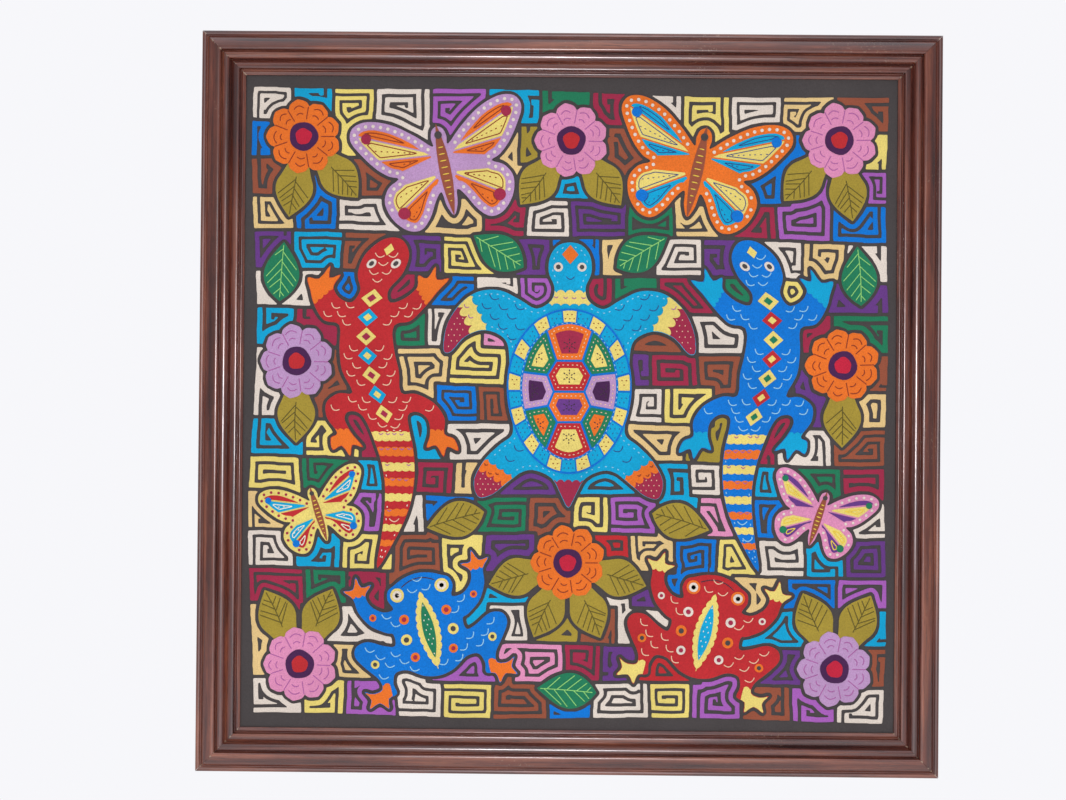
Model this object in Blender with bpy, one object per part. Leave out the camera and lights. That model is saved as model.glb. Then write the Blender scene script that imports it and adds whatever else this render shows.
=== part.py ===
# Framed mola panel: layered, appliqued cotton held in a moulded wooden frame.
# The front faces -Y and +Z is up. The origin is on the wall plane, y = 0,
# in the middle of the back of the top rail, where the frame hangs.

import math

import bmesh
import bpy

MM = 0.001

# Frame
OUTER = 740 * MM  # outside width and height
BACK_WIDTH = 35.5 * MM  # width of a rail's back face, outside edge to rebate
LIP_HEIGHT = 14.5 * MM  # from the wall to the underside of the lip
SIGHT_EDGE = 42.6 * MM  # outside edge to the lip's edge
PIECE_GAP = 0.3 * MM  # between pieces that touch on the real panel

# Cloth and board in the rebate
CLOTH_SIDE = 667 * MM
CLOTH_THICKNESS = 1.5 * MM
BOARD_SIDE = 666 * MM
BOARD_THICKNESS = 3.0 * MM
PATCH_THICKNESS = 1.2 * MM
OVERLAY_THICKNESS = 1.0 * MM

# Motifs
ROSETTE_RADIUS = 37 * MM
ROSETTE_PETALS = 9
ROSETTE_NOTCH = 0.16  # depth of the notch between petals, as a share of the radius
PETAL_ROUNDNESS = 0.6  # power of the sine along a petal's rim, lower is rounder
PETAL_STEPS = 8
EYE_RADIUS = 14.5 * MM
EYE_STEPS = 24
LEAF_REACH = 45 * MM  # how far a leaf shows beyond its rosette
LEAF_HALF_WIDTH = 19 * MM
LEAF_FOOT = 0.24  # share of the whole leaf's length that would lie under the rosette
LEAF_STEPS = 11
LEAF_FOOT_STEPS = 6
LONE_LEAF_LENGTH = 60 * MM
LONE_LEAF_HALF_WIDTH = 18 * MM
LONE_LEAF_FOOT = 0.85  # power of the share along the leaf, lower is fuller at the foot
LONE_LEAF_STEPS = 12
SHELL_HALF_WIDTH = 66 * MM
SHELL_HALF_HEIGHT = 83 * MM
SHELL_NARROWING = 0.10  # how much narrower the shell is at its tail end
SHELL_STEPS = 48
TURTLE_UP = 17 * MM  # the turtle's place above the panel's centre
SHELL_DROP = 5 * MM  # the shell's centre below the turtle's
OUTLINE_STEPS = 3  # steps of the smooth curve between two points of a figure's outline
SWAY_LOW = -10  # a swaying body is on its middle line at this height, in mm of its outline
SWAY_HALF_WAVE = 145  # and again this much above and below

# Heights of the layers, as y of each layer's back
CENTRE_Z = BACK_WIDTH / 2 - OUTER / 2
CLOTH_BACK = -(LIP_HEIGHT - PIECE_GAP - CLOTH_THICKNESS)
BOARD_BACK = CLOTH_BACK + PIECE_GAP + BOARD_THICKNESS
PATCH_BACK = CLOTH_BACK - CLOTH_THICKNESS - PIECE_GAP
OVERLAY_BACK = PATCH_BACK - PATCH_THICKNESS - PIECE_GAP

# Finishes, with colours as they look, 0 to 255
DISPLAY_GAMMA = 2.2
VARNISH_ROUGHNESS = 0.3
BOARD_ROUGHNESS = 0.7
COTTON_ROUGHNESS = 0.85
WOOD = (92, 48, 38)
BOARD = (134, 104, 76)
CHARCOAL = (70, 70, 72)
SCARLET = (200, 35, 45)
ORANGE = (240, 120, 42)
YELLOW = (240, 222, 125)
OLIVE = (165, 150, 50)
EMERALD = (20, 125, 75)
TEAL = (8, 170, 222)
BLUE = (0, 114, 210)
LILAC = (180, 140, 205)
PINK = (222, 135, 190)
PLUM = (70, 30, 80)

# Right half outlines, from the nose down to the tail, as (across, up) in mm
TURTLE_HALF = (
    (0, 128), (11, 125), (18, 115), (19, 101), (14, 88), (17, 76), (30, 69),
    (45, 77), (63, 85), (83, 83), (100, 70), (110, 51), (112, 31), (105, 30),
    (93, 43), (78, 49), (64, 46), (55, 36), (53, 10), (52, -20), (50, -42),
    (61, -52), (75, -66), (84, -84), (80, -99), (68, -97), (55, -87),
    (42, -77), (30, -75), (15, -82), (7, -96), (0, -108),
)
GECKO_HALF = (
    (0, 160), (12, 156), (22, 142), (22, 124), (14, 108), (19, 96),
    (32, 100), (41, 111), (38, 123), (48, 120), (52, 132), (58, 119), (70, 120),
    (63, 107), (56, 94), (43, 78), (27, 73),
    (27, 50), (28, 28), (24, 7),
    (38, 6), (53, -3), (58, -18), (53, -33), (61, -38), (62, -50), (52, -46),
    (46, -56), (41, -45), (31, -47), (38, -34), (41, -20), (34, -12), (22, -17),
    (18, -48), (15, -78), (12, -108), (7, -138), (0, -166),
)
BUTTERFLY_HALF = (
    (0, 37), (5, 34), (7, 27), (7, 20), (20, 32), (39, 46), (59, 53), (73, 50),
    (77, 39), (70, 25), (60, 11), (50, 2), (42, -2), (52, -8), (58, -20),
    (54, -36), (43, -48), (31, -50), (21, -41), (13, -27), (7, -21), (5, -33),
    (0, -43),
)
FROG_HALF = (
    (0, 47), (12, 45), (21, 41), (28, 37), (30, 29), (27, 20), (37, 20),
    (46, 28), (48, 38), (41, 46), (50, 46), (53, 56), (58, 46), (67, 46),
    (60, 37), (58, 24), (50, 10), (38, 1), (32, -2), (33, -12), (42, -10),
    (56, -3), (67, -5), (70, -14), (63, -26), (54, -38), (53, -47), (62, -49),
    (69, -46), (65, -54), (68, -62), (58, -59), (51, -66), (49, -57), (41, -54),
    (42, -45), (38, -36), (27, -36), (14, -44), (0, -47),
)

# Figures: name, half outline, across and up from the panel's centre in mm, turn in degrees,
# size, sway of the body in mm (left or right), and colour
FIGURES = (
    ("turtle", TURTLE_HALF, 0, TURTLE_UP / MM, 0, 1.13, 0, TEAL),
    ("gecko_left", GECKO_HALF, -187, 2, 0, 1.02, -17, SCARLET),
    ("gecko_right", GECKO_HALF, 187, 2, 0, 1.02, 17, BLUE),
    ("butterfly_left", BUTTERFLY_HALF, -127, 236, 12, 1.14, 0, LILAC),
    ("butterfly_right", BUTTERFLY_HALF, 127, 236, -12, 1.14, 0, ORANGE),
    ("butterfly_low_left", BUTTERFLY_HALF, -251, -112, 18, 0.70, 0, YELLOW),
    ("butterfly_low_right", BUTTERFLY_HALF, 251, -112, -18, 0.70, 0, PINK),
    ("frog_left", FROG_HALF, -140, -223, 14, 1.12, 0, BLUE),
    ("frog_right", FROG_HALF, 140, -223, -14, 1.12, 0, SCARLET),
)

# Rosettes: name, across and up in mm, colour, and the directions of their leaves in degrees
ROSETTES = (
    ("rosette_top_left", -269, 266, ORANGE, (260, 312)),
    ("rosette_top", 0, 264, PINK, (232, 308)),
    ("rosette_top_right", 269, 266, PINK, (228, 280)),
    ("rosette_side_left", -274, 40, LILAC, (270,)),
    ("rosette_side_right", 274, 40, ORANGE, (270,)),
    ("rosette_low_left", -268, -264, PINK, (67, 116)),
    ("rosette_low", 0, -160, ORANGE, (196, 246, 294, 344)),
    ("rosette_low_right", 268, -264, LILAC, (64, 113)),
)

# Lone leaves: name, across and up in mm, direction of the tip in degrees, colour
LONE_LEAVES = (
    ("leaf_lone_1", -72, 152, 148, EMERALD),
    ("leaf_lone_2", 72, 152, 32, EMERALD),
    ("leaf_lone_3", -113, -118, 196, OLIVE),
    ("leaf_lone_4", 113, -118, 344, OLIVE),
    ("leaf_lone_5", -290, 130, 86, EMERALD),
    ("leaf_lone_6", 290, 130, 94, EMERALD),
    ("leaf_lone_7", 0, -288, 176, EMERALD),
)


def linear(colour):
    """Turn a colour as seen into the linear values that a shader takes."""
    return tuple((c / 255) ** DISPLAY_GAMMA for c in colour) + (1.0,)


def material(name, colour, roughness):
    mat = bpy.data.materials.new(name)
    mat.use_nodes = True
    shader = mat.node_tree.nodes["Principled BSDF"]
    shader.inputs["Base Color"].default_value = linear(colour)
    shader.inputs["Roughness"].default_value = roughness
    shader.inputs["Metallic"].default_value = 0.0
    return mat


def add_object(name, mesh, location=(0, 0, 0), turn=0.0):
    """Place a mesh. turn is anticlockwise as seen from the front."""
    thing = bpy.data.objects.new(name, mesh)
    thing.location = location
    thing.rotation_euler = (0, -turn, 0)
    bpy.context.scene.collection.objects.link(thing)
    return thing


def arc(centre, radius, start, end, steps):
    """Points on an arc from start to end, in degrees, both ends included."""
    angles = [math.radians(start + (end - start) * i / steps) for i in range(steps + 1)]
    return [(centre[0] + radius * math.cos(a), centre[1] + radius * math.sin(a)) for a in angles]


def closed_curve(points, steps):
    """A smooth closed curve through the points, with steps to each stretch."""
    count = len(points)
    curve = []
    for i in range(count):
        p0, p1, p2, p3 = (points[(i + k - 1) % count] for k in range(4))
        for step in range(steps):
            t = step / steps
            weights = (
                -0.5 * t + t * t - 0.5 * t**3,
                1 - 2.5 * t * t + 1.5 * t**3,
                0.5 * t + 2 * t * t - 1.5 * t**3,
                -0.5 * t * t + 0.5 * t**3,
            )
            curve.append(tuple(sum(w * p[k] for w, p in zip(weights, (p0, p1, p2, p3))) for k in (0, 1)))
    return curve


def plate_mesh(name, outline, thickness):
    """A flat plate of an outline in X and Z, from y = -thickness to y = 0."""
    bm = bmesh.new()
    front = bm.faces.new([bm.verts.new((x, -thickness, z)) for x, z in outline])
    extruded = bmesh.ops.extrude_face_region(bm, geom=[front], use_keep_orig=True)
    moved = [g for g in extruded["geom"] if isinstance(g, bmesh.types.BMVert)]
    bmesh.ops.translate(bm, verts=moved, vec=(0, thickness, 0))
    bmesh.ops.recalc_face_normals(bm, faces=bm.faces)
    mesh = bpy.data.meshes.new(name)
    bm.to_mesh(mesh)
    bm.free()
    return mesh


def add_patch(name, outline, across, up, turn, colour, back=PATCH_BACK, thickness=PATCH_THICKNESS):
    """A cut patch of cotton, sewn flat on the layer below it."""
    mesh = plate_mesh(name, outline, thickness)
    mesh.materials.append(material(name + "_cotton", colour, COTTON_ROUGHNESS))
    return add_object(name, mesh, (across, back, CENTRE_Z + up), turn)


def rail_profile():
    """The moulding's section, as (from the outside edge, from the wall), anticlockwise from the back."""
    back, under, sight = BACK_WIDTH / MM, LIP_HEIGHT / MM, SIGHT_EDGE / MM
    mm = [(0, 0), (back, 0), (back, under), (sight, under)]
    mm += arc((sight - 0.5, 16.6), 0.5, 0, 60, 2)  # lip
    mm += [(41.0, 17.85), (40.1, 18.4), (39.2, 18.25), (38.2, 17.8), (37.6, 18.7), (37.4, 20.0)]
    mm += arc((36.0, 22.3), 1.3, 0, 90, 3)  # inner arris
    mm += [(34.7, 23.56), (33.0, 23.05), (31.0, 22.2)]
    mm += [(29.6, 21.9), (28.9, 22.6), (28.3, 24.3), (27.65, 25.8)]
    mm += arc((24.4, 22.3), 5.2, 60, 120, 4)  # flattened bead
    mm += [(20.8, 25.9), (20.3, 25.5), (19.85, 26.9)]
    mm += arc((17.6, 27.8), 2.2, 20, 90, 4)  # outer arris
    mm += [(15.9, 29.8), (14.2, 29.45), (11.4, 28.6), (9.0, 27.4), (7.1, 25.8), (5.6, 24.2)]
    mm += arc((2.5, 23.3), 2.5, 20, 180, 6)  # outside bead
    return [(u * MM, h * MM) for u, h in mm]


def rail_mesh():
    """The top rail about the frame's centre: its section run out to a mitre at each end."""
    setback = PIECE_GAP / math.sqrt(2)  # along the rail, for half the gap square to the mitre
    profile = rail_profile()
    bm = bmesh.new()
    section = [bm.verts.new((0, -h, OUTER / 2 - u)) for u, h in profile]
    face = bm.faces.new(section)
    extruded = bmesh.ops.extrude_face_region(bm, geom=[face], use_keep_orig=True)
    for vert in extruded["geom"]:
        if isinstance(vert, bmesh.types.BMVert):
            vert.co.x = vert.co.z - setback
    for vert in section:
        vert.co.x = -(vert.co.z - setback)
    bmesh.ops.recalc_face_normals(bm, faces=bm.faces)
    mesh = bpy.data.meshes.new("rail")
    bm.to_mesh(mesh)
    bm.free()
    mesh.materials.append(material("stained_wood", WOOD, VARNISH_ROUGHNESS))
    return mesh


def build_frame():
    mesh = rail_mesh()
    for turn, name in enumerate(("rail_top", "rail_left", "rail_bottom", "rail_right")):
        add_object(name, mesh, (0, 0, CENTRE_Z), turn * math.pi / 2)


def square(side):
    half = side / 2
    return [(-half, -half), (half, -half), (half, half), (-half, half)]


def build_sheets():
    """The backing board and, in front of it, the charcoal ground cloth."""
    board = plate_mesh("backing_board", square(BOARD_SIDE), BOARD_THICKNESS)
    board.materials.append(material("hardboard", BOARD, BOARD_ROUGHNESS))
    add_object("backing_board", board, (0, BOARD_BACK, CENTRE_Z))
    add_patch("ground_cloth", square(CLOTH_SIDE), 0, 0, 0, CHARCOAL, CLOTH_BACK, CLOTH_THICKNESS)


def figure_outline(half, size, sway):
    """Mirror a half outline, round it off, and sway it about its middle line."""
    left = [(-x, z) for x, z in reversed(half[1:-1])]
    outline = []
    for x, z in closed_curve(list(half) + left, OUTLINE_STEPS):
        bend = sway * math.sin(math.pi * (z - SWAY_LOW) / SWAY_HALF_WAVE)
        outline.append(((x + bend) * size * MM, z * size * MM))
    return outline


def build_figures():
    for name, half, across, up, turn, size, sway, colour in FIGURES:
        outline = figure_outline(half, size, sway)
        add_patch(name, outline, across * MM, up * MM, math.radians(turn), colour)


def build_shell():
    """The turtle's shell: an oval drawn in towards the tail, sewn over the turtle's body."""
    outline = []
    for i in range(SHELL_STEPS):
        angle = 2 * math.pi * i / SHELL_STEPS
        half_width = SHELL_HALF_WIDTH * (1 - SHELL_NARROWING * (1 - math.sin(angle)) / 2)
        outline.append((half_width * math.cos(angle), SHELL_HALF_HEIGHT * math.sin(angle)))
    up = TURTLE_UP - SHELL_DROP
    add_patch("turtle_shell", outline, 0, up, 0, BLUE, OVERLAY_BACK, OVERLAY_THICKNESS)


def rosette_outline():
    """Round petals with a notch between each two."""
    steps = ROSETTE_PETALS * PETAL_STEPS
    outline = []
    for i in range(steps):
        angle = 2 * math.pi * i / steps
        fullness = abs(math.sin(ROSETTE_PETALS * angle / 2)) ** PETAL_ROUNDNESS
        radius = ROSETTE_RADIUS * (1 - ROSETTE_NOTCH * (1 - fullness))
        outline.append((radius * math.cos(angle), radius * math.sin(angle)))
    return outline


def leaf_outline():
    """A pointed leaf along +X from a rosette's centre, its foot hollowed to the rosette's rim."""
    foot = ROSETTE_RADIUS + PIECE_GAP
    edge = []
    for i in range(LEAF_STEPS):
        t = i / LEAF_STEPS
        width = LEAF_HALF_WIDTH * math.sin(math.pi * (LEAF_FOOT + (1 - LEAF_FOOT) * t))
        reach = math.sqrt(max(foot**2 - width**2, 0)) if i == 0 else foot + LEAF_REACH * t
        edge.append((reach, width))
    tip = (foot + LEAF_REACH, 0)
    rim = math.degrees(math.atan2(edge[0][1], edge[0][0]))
    hollow = arc((0, 0), foot, rim, -rim, LEAF_FOOT_STEPS)[1:-1]
    return hollow + [(x, -y) for x, y in edge] + [tip] + edge[::-1]


def lone_leaf_outline():
    """A whole pointed leaf along +X, centred on its middle."""
    upper = []
    for i in range(1, LONE_LEAF_STEPS):
        t = i / LONE_LEAF_STEPS
        width = LONE_LEAF_HALF_WIDTH * math.sin(math.pi * t**LONE_LEAF_FOOT)
        upper.append((LONE_LEAF_LENGTH * (t - 0.5), width))
    foot = (-LONE_LEAF_LENGTH / 2, 0)
    tip = (LONE_LEAF_LENGTH / 2, 0)
    return [foot] + [(x, -y) for x, y in upper] + [tip] + upper[::-1]


def build_flowers():
    eye = arc((0, 0), EYE_RADIUS, 0, 360, EYE_STEPS)[:-1]
    for name, across, up, colour, leaves in ROSETTES:
        place = (across * MM, up * MM)
        add_patch(name, rosette_outline(), *place, 0, colour)
        add_patch(name + "_eye", eye, *place, 0, PLUM, OVERLAY_BACK, OVERLAY_THICKNESS)
        for number, direction in enumerate(leaves, 1):
            leaf = f"{name}_leaf_{number}"
            add_patch(leaf, leaf_outline(), *place, math.radians(direction), OLIVE)
    for name, across, up, direction, colour in LONE_LEAVES:
        add_patch(name, lone_leaf_outline(), across * MM, up * MM, math.radians(direction), colour)


def main():
    for thing in list(bpy.data.objects):
        bpy.data.objects.remove(thing)
    build_frame()
    build_sheets()
    build_figures()
    build_shell()
    build_flowers()


main()
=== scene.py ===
# Framed mola panel: the moulding, the labyrinth, the sewn figures and flowers, and their embroidery.
import math
import random

import bmesh
import bpy
import numpy as np
from mathutils import Matrix, Vector


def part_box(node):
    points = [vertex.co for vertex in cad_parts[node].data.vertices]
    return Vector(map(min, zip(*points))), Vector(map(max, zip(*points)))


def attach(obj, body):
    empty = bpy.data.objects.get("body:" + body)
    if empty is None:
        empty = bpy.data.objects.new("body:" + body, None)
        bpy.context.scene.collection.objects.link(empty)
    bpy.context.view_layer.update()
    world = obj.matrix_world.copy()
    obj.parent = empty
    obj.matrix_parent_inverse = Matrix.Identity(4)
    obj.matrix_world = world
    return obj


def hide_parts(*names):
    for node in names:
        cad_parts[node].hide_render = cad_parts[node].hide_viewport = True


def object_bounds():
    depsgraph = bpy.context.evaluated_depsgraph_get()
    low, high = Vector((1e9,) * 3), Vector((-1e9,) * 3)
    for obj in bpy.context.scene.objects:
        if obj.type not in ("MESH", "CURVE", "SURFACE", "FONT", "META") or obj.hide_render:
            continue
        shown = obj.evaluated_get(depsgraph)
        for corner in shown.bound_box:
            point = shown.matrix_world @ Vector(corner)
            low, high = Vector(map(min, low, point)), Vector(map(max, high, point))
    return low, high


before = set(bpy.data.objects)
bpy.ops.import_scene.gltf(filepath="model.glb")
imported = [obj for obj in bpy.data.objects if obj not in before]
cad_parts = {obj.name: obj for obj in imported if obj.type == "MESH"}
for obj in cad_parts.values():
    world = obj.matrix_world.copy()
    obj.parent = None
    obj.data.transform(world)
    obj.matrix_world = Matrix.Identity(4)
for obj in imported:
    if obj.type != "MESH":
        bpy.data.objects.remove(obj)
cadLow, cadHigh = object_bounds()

mm = 0.001
chance = random.Random(23)  # the one source of chance, so that every run is the same
clothLow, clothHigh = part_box("ground_cloth")
centreZ = (clothLow.z + clothHigh.z) / 2  # the middle of the panel
outerHalf = (cadHigh.x - cadLow.x) / 2 / mm

# heights out from the wall, mm
groundFront = -clothLow.y / mm
patchFront = -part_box("turtle")[0].y / mm
shellFront = -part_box("turtle_shell")[0].y / mm
layers = {
    "foot": groundFront + 0.05,  # the back of what is sewn on the ground cloth
    "labyrinth": groundFront + 0.8,
    "leaf": patchFront - 0.3,
    "figure": patchFront,
    "patch": patchFront + 0.6,
    "topPatch": patchFront + 1.2,
    "rosette": patchFront + 0.4,
    "ring": patchFront + 1.1,
    "disc": patchFront + 1.6,
    "shell": shellFront,
    "scute": shellFront + 0.6,
    "scuteHeart": shellFront + 1.1,
}

# colours, 0 to 255
cottonColours = {
    "charcoal": (69, 65, 66), "cream": (215, 205, 195), "lemon": (221, 203, 113), "tan": (216, 187, 130),
    "orange": (221, 109, 36), "scarlet": (178, 39, 45), "rose": (184, 30, 58), "crimson": (151, 39, 69),
    "olive": (155, 136, 51), "emerald": (28, 117, 83), "teal": (2, 156, 204), "blue": (0, 111, 202),
    "lilac": (178, 142, 187), "orchid": (158, 90, 177), "violet": (97, 54, 128), "pink": (210, 136, 176),
    "plum": (67, 30, 75), "brown": (142, 77, 56),
}
threadColours = {
    "paleThread": (244, 198, 168), "creamThread": (244, 236, 214), "darkThread": (58, 34, 52),
    "navyThread": (24, 60, 130), "rustThread": (138, 44, 6), "mossThread": (92, 82, 14),
    "leafThread": (150, 214, 120), "skyThread": (150, 205, 240), "goldThread": (240, 205, 70),
    "mauveThread": (168, 92, 160),
}


def linear(colour, times=1.0):
    tones = [min(255, part * times) / 255 for part in colour]
    return [t / 12.92 if t < 0.04 else ((t + 0.055) / 1.055) ** 2.4 for t in tones] + [1]


# Node materials

def addNode(tree, kind, sockets=None, **settings):
    node = tree.nodes.new(kind)
    for setting, value in settings.items():
        setattr(node, setting, value)
    for socket, value in (sockets or {}).items():
        if isinstance(value, bpy.types.NodeSocket):
            tree.links.new(value, node.inputs[socket])
        else:
            node.inputs[socket].default_value = value
    return node


def newFinish(name, sockets):
    finish = bpy.data.materials.new(name)
    finish.use_nodes = True
    tree = finish.node_tree
    shader = tree.nodes["Principled BSDF"]
    for socket, value in sockets.items():
        shader.inputs[socket].default_value = value
    place = addNode(tree, "ShaderNodeTexCoord").outputs["Object"]
    return finish, tree, shader, place


def plug(tree, shader, sockets):
    for socket, value in sockets.items():
        tree.links.new(value, shader.inputs[socket])


def noise(tree, place, scale, detail, rough=0.5):
    sockets = {"Vector": place, "Scale": scale, "Detail": detail, "Roughness": rough}
    return addNode(tree, "ShaderNodeTexNoise", sockets).outputs["Fac"]


def ranged(tree, value, start, end, low=0.0, high=1.0, kind="LINEAR"):
    sockets = {0: value, 1: start, 2: end, 3: low, 4: high}
    return addNode(tree, "ShaderNodeMapRange", sockets, interpolation_type=kind).outputs[0]


def spots(tree, place, scale, detail, limits):
    # where the noise passes its limits
    return ranged(tree, noise(tree, place, scale, detail), *limits)


def maths(tree, operation, *values):
    return addNode(tree, "ShaderNodeMath", dict(enumerate(values)), operation=operation).outputs[0]


def mixColours(tree, amount, first, second):
    return addNode(tree, "ShaderNodeMix", {0: amount, 6: first, 7: second}, data_type="RGBA").outputs[2]


def bump(tree, height, distance, strength=1.0, under=None):
    sockets = {"Height": height, "Distance": distance, "Strength": strength}
    if under is not None:
        sockets["Normal"] = under
    return addNode(tree, "ShaderNodeBump", sockets).outputs["Normal"]


weave = {
    "pitch": 0.62 * mm,
    "warp": 0.6,  # how far the threads stray
    "bump": (0.10 * mm, 0.7),
    "puckerSize": 13 * mm,  # soft hollows that the sewing draws in
    "pucker": (0.30 * mm, 0.8),
    "fadeSize": 42 * mm,  # slow change of tone across the cloth
    "fade": (0.904, 1.084),  # its darkest and lightest, in times of the colour
    "fleckSize": 1.25 * mm,
    "fleck": 0.76,  # tone of the flecks
    "flecks": (0.35, 0.75, 0.0, 0.55),  # noise from which to which, and their share there
}


def cotton(name, colour):
    look = {"Roughness": 0.92, "Sheen Weight": 0.22, "Sheen Roughness": 0.5, "Specular IOR Level": 0.18}
    finish, tree, shader, place = newFinish(name, look)
    fade = noise(tree, place, 1 / weave["fadeSize"], 3.0)
    slow = mixColours(tree, fade, *(linear(colour, times) for times in weave["fade"]))
    fleck = spots(tree, place, 1 / weave["fleckSize"], 2.0, weave["flecks"])
    scale = 2 * math.pi / (20 * weave["pitch"])  # a wave texture's scale for this pitch
    sockets = {"Vector": place, "Scale": scale, "Distortion": weave["warp"], "Detail": 1.0}
    ways = [addNode(tree, "ShaderNodeTexWave", sockets, bands_direction=way).outputs["Fac"] for way in "XZ"]
    fine = bump(tree, maths(tree, "MULTIPLY", *ways), *weave["bump"])
    pucker = noise(tree, place, 1 / weave["puckerSize"], 2.0)
    plug(tree, shader, {
        "Base Color": mixColours(tree, fleck, slow, linear(colour, weave["fleck"])),
        "Normal": bump(tree, pucker, *weave["pucker"], fine),
    })
    return finish


twist = {"size": 0.625 * mm, "tones": (0.8, 1.12), "bump": 0.08 * mm}


def thread(name, colour):
    look = {"Roughness": 0.6, "Sheen Weight": 0.1, "Specular IOR Level": 0.25}
    finish, tree, shader, place = newFinish(name, look)
    fibre = noise(tree, place, 1 / twist["size"], 2.0)
    tones = mixColours(tree, fibre, *(linear(colour, times) for times in twist["tones"]))
    plug(tree, shader, {"Base Color": tones, "Normal": bump(tree, fibre, twist["bump"])})
    return finish


woodLook = {
    "dark": (46, 14, 9),
    "middle": (92, 41, 27),
    "light": (138, 80, 57),
    "chip": (206, 184, 160),  # bare wood and dust where the varnish is knocked off
    "stretch": 0.045,  # the grain's width over its length
    "grain": 9 * mm,
    "stops": (0.34, 0.5, 0.68),  # of the grain's three tones
    "streak": 3.0 * mm,
    "pore": 0.9 * mm,
    "poreBump": (0.05 * mm, 0.5),
    "sheen": (1.0, 0.95, 1.0, 1.0),  # tone of the varnish's reflections
    "dull": 0.2,  # more roughness along the outer edge
    "dullEdge": (4.0 * mm, 6.0 * mm),  # from the outer edge, where the varnish is worn dull
    "crest": (28.6 * mm, 30.2 * mm),  # heights of the arris painted lighter: rubbed by hands, and a painted highlight
    "rubAndPaintedHighlight": 0.2,  # share of the lighter tone there, part wear and part painted highlight
    "mitre": 1.3 * mm,  # how far from a mitre its edge is chipped
    # limits of a noise, and what it gives at them
    "gloss": (0.35, 0.65, 0.29, 0.19),  # roughness between and on the streaks
    "darkLines": (0.36, 0.62, 0.45, 0.0),
    "darkPores": (0.56, 0.70, 0.0, 0.6),
    "chips": (0.56, 0.62, 0.0, 0.75),
    "specks": (0.70, 0.76),
    "dusty": (0.60, 0.72, 0.0, 0.16),
}


def fromMiddle(tree, place):
    # how far across and up from the panel's middle, and the place towards the wall
    middle = addNode(tree, "ShaderNodeMapping", {"Vector": place, "Location": (0, 0, -centreZ)})
    parts = addNode(tree, "ShaderNodeSeparateXYZ", {0: middle.outputs["Vector"]}).outputs
    return maths(tree, "ABSOLUTE", parts["X"]), maths(tree, "ABSOLUTE", parts["Z"]), parts["Y"]


def wornWithPaintedHighlight(tree, place, across, up, out, tone):
    # the high arris painted lighter, part hand-rubbed wear and part painted highlight; the mitres chipped,
    # and a few dust specks
    low, high = woodLook["crest"]
    # painted highlight with wear: a lighter tone on the highest faces of the arris
    rubAndPaintedHighlight = ranged(tree, out, -low, -high, 0.0, woodLook["rubAndPaintedHighlight"])
    rubAndPaintedHighlight = maths(tree, "MULTIPLY", rubAndPaintedHighlight, noise(tree, place, 70.0, 3.0))
    tone = mixColours(tree, rubAndPaintedHighlight, tone, linear(woodLook["light"], 1.25))
    off = maths(tree, "ABSOLUTE", maths(tree, "SUBTRACT", across, up))
    near = ranged(tree, off, 0.0, woodLook["mitre"], 1.0, 0.0)
    chips = maths(tree, "MULTIPLY", spots(tree, place, 330.0, 2.0, woodLook["chips"]), near)
    dusty = spots(tree, place, 11.0, 1.0, woodLook["dusty"])
    specks = maths(tree, "MULTIPLY", spots(tree, place, 520.0, 0.0, woodLook["specks"]), dusty)
    marks = maths(tree, "MAXIMUM", chips, specks)
    return mixColours(tree, marks, tone, linear(woodLook["chip"]))


def wood(name, grain):
    look = {
        "Specular IOR Level": 0.95, "Specular Tint": woodLook["sheen"],
        "Coat Weight": 0.3, "Coat Roughness": 0.49,
    }
    finish, tree, shader, place = newFinish(name, look)
    stretch = [woodLook["stretch"] if axis == grain else 1.0 for axis in "XYZ"]
    along = addNode(tree, "ShaderNodeMapping", {"Vector": place, "Scale": stretch}).outputs["Vector"]
    ramp = addNode(tree, "ShaderNodeValToRGB", {"Fac": noise(tree, along, 1 / woodLook["grain"], 6.0, 0.6)})
    stops = ramp.color_ramp.elements
    stops.new(woodLook["stops"][1])
    for stop, position, tone in zip(stops, woodLook["stops"], ("dark", "middle", "light")):
        stop.position = position
        stop.color = linear(woodLook[tone])
    pore = noise(tree, along, 1 / woodLook["pore"], 2.0)
    streak = noise(tree, along, 1 / woodLook["streak"], 3.0)
    lines = ranged(tree, streak, *woodLook["darkLines"])
    tone = mixColours(tree, lines, ramp.outputs["Color"], linear(woodLook["dark"]))
    pores = ranged(tree, pore, *woodLook["darkPores"])
    tone = mixColours(tree, pores, tone, linear(woodLook["dark"], 0.6))
    across, up, out = fromMiddle(tree, place)
    side = maths(tree, "MAXIMUM", across, up)
    low, high = woodLook["dullEdge"]
    dull = ranged(tree, side, outerHalf * mm - high, outerHalf * mm - low, 0.0, woodLook["dull"])
    # the base colour holds a painted highlight on the high arris
    plug(tree, shader, {
        "Base Color": wornWithPaintedHighlight(tree, place, across, up, out, tone),
        "Roughness": maths(tree, "ADD", ranged(tree, streak, *woodLook["gloss"]), dull),
        "Normal": bump(tree, pore, *woodLook["poreBump"]),
    })
    return finish


boardLook = {
    "dark": (106, 76, 52),
    "light": (146, 112, 80),
    "fleck": (84, 58, 38),
    "flecks": (0.5, 0.8, 0.0, 0.6),  # noise from which to which, and their share there
    "bump": 0.15 * mm,
}


def hardboard(name):
    finish, tree, shader, place = newFinish(name, {"Roughness": 0.75, "Specular IOR Level": 0.3})
    mottle = noise(tree, place, 60.0, 5.0)
    fibre = noise(tree, place, 900.0, 3.0)
    tone = mixColours(tree, mottle, linear(boardLook["dark"]), linear(boardLook["light"]))
    flecks = ranged(tree, fibre, *boardLook["flecks"])
    tone = mixColours(tree, flecks, tone, linear(boardLook["fleck"]))
    plug(tree, shader, {"Base Color": tone, "Normal": bump(tree, fibre, boardLook["bump"])})
    return finish


cottons = {name: cotton(name + "_cotton", colour) for name, colour in cottonColours.items()}
threads = {name: thread(name, colour) for name, colour in threadColours.items()}
print("finishes made:", len(cottons), "cottons and", len(threads), "threads")


# Working with objects


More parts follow.
